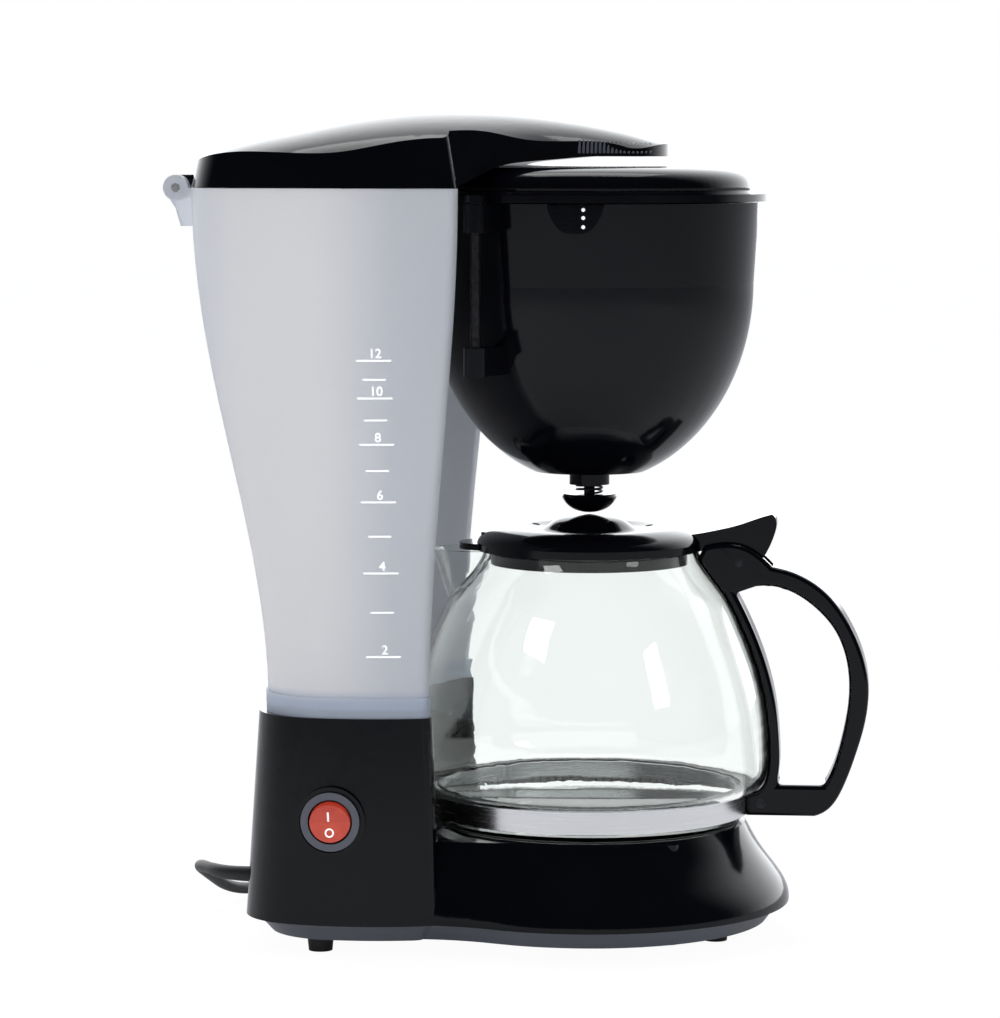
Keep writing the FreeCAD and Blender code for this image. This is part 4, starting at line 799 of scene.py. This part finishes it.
def studio():
    """Pale room: white where it is seen or shines through, and in reflections from behind."""
    world = bpy.data.worlds.new("studio")
    bpy.context.scene.world = world
    shader = Shader(world)
    way = shader.node("ShaderNodeTexCoord", out="Generated")
    dark, light = MIRROR_LIGHT
    bright = shader.node("ShaderNodeMapRange", {"interpolation_type": "SMOOTHSTEP"}, {
        "Value": shader.part(way, "Y") + shader.part(way, "Z") * MIRROR_ABOVE,
        "From Min": 0.0, "From Max": MIRROR_FULL, "To Min": dark, "To Max": light,
    })
    room = shader.node("ShaderNodeBackground", None, {"Color": ROOM_COLOUR, "Strength": ROOM_LIGHT})
    mirrored = shader.node("ShaderNodeBackground", None, {"Color": MIRROR_COLOUR, "Strength": bright})
    white = shader.node("ShaderNodeBackground", None, {"Color": WHITE_LIGHT, "Strength": 1.0})
    lit = shader.node("ShaderNodeMixShader", None, {0: shader.rays("Is Glossy Ray"), 1: room, 2: mirrored})
    seen = shader.rays("Is Camera Ray", "Is Transmission Ray")
    mix = shader.node("ShaderNodeMixShader", None, {0: seen, 1: lit, 2: white})
    output = shader.tree.nodes.new("ShaderNodeOutputWorld")
    shader.tree.links.new(mix.socket, output.inputs["Surface"])


def floor():
    """Pale floor that looks white and keeps the object's shadow."""
    finish = Finish("pale_floor")
    seen = finish.rays("Is Camera Ray", "Is Transmission Ray")
    mirrored = finish.rays("Is Glossy Ray")
    grain = finish.noise(30.0, 3.0)
    matt = finish.node("ShaderNodeBsdfDiffuse", None, {
        "Color": finish.ramp(grain, (0.2, (0.84, 0.85, 0.87)), (0.8, (0.87, 0.88, 0.90))),
    })
    glow = finish.node("ShaderNodeEmission", None, {"Color": WHITE_LIGHT, "Strength": FLOOR_GLOW})
    share = seen * GLOW_SEEN + mirrored * GLOW_MIRRORED
    mix = finish.node("ShaderNodeMixShader", None, {0: share, 1: matt, 2: glow})
    finish.tree.links.new(mix.socket, finish.output.inputs["Surface"])
    form = bmesh.new()
    bmesh.ops.create_grid(form, x_segments=4, y_segments=4, size=FLOOR_HALF)
    finished(form, "floor", finish.material)


def lamp(name, place, target, size, power, mirrored):
    """A soft lamp, which shows in reflections only where mirrored says so."""
    data = bpy.data.lights.new(name, "AREA")
    data.shape = "RECTANGLE"
    data.size, data.size_y = size
    data.energy = power
    obj = link(name, data)
    obj.location = place
    aim = Vector(target) - Vector(place)
    obj.rotation_euler = aim.to_track_quat("-Z", "Y").to_euler()
    obj.visible_glossy = mirrored


studio()
floor()
lamp("key", place=(-0.9, -1.1, 1.3), target=(0.0, 0.0, 0.15), size=(0.55, 0.45), power=8.0, mirrored=False)
lamp("fill", place=(1.3, -0.9, 0.8), target=(0.0, 0.0, 0.15), size=(0.35, 0.6), power=3.5, mirrored=False)
lamp("top", place=(0.0, 0.3, 1.5), target=(0.0, 0.0, 0.2), size=(0.9, 0.6), power=7.0, mirrored=True)
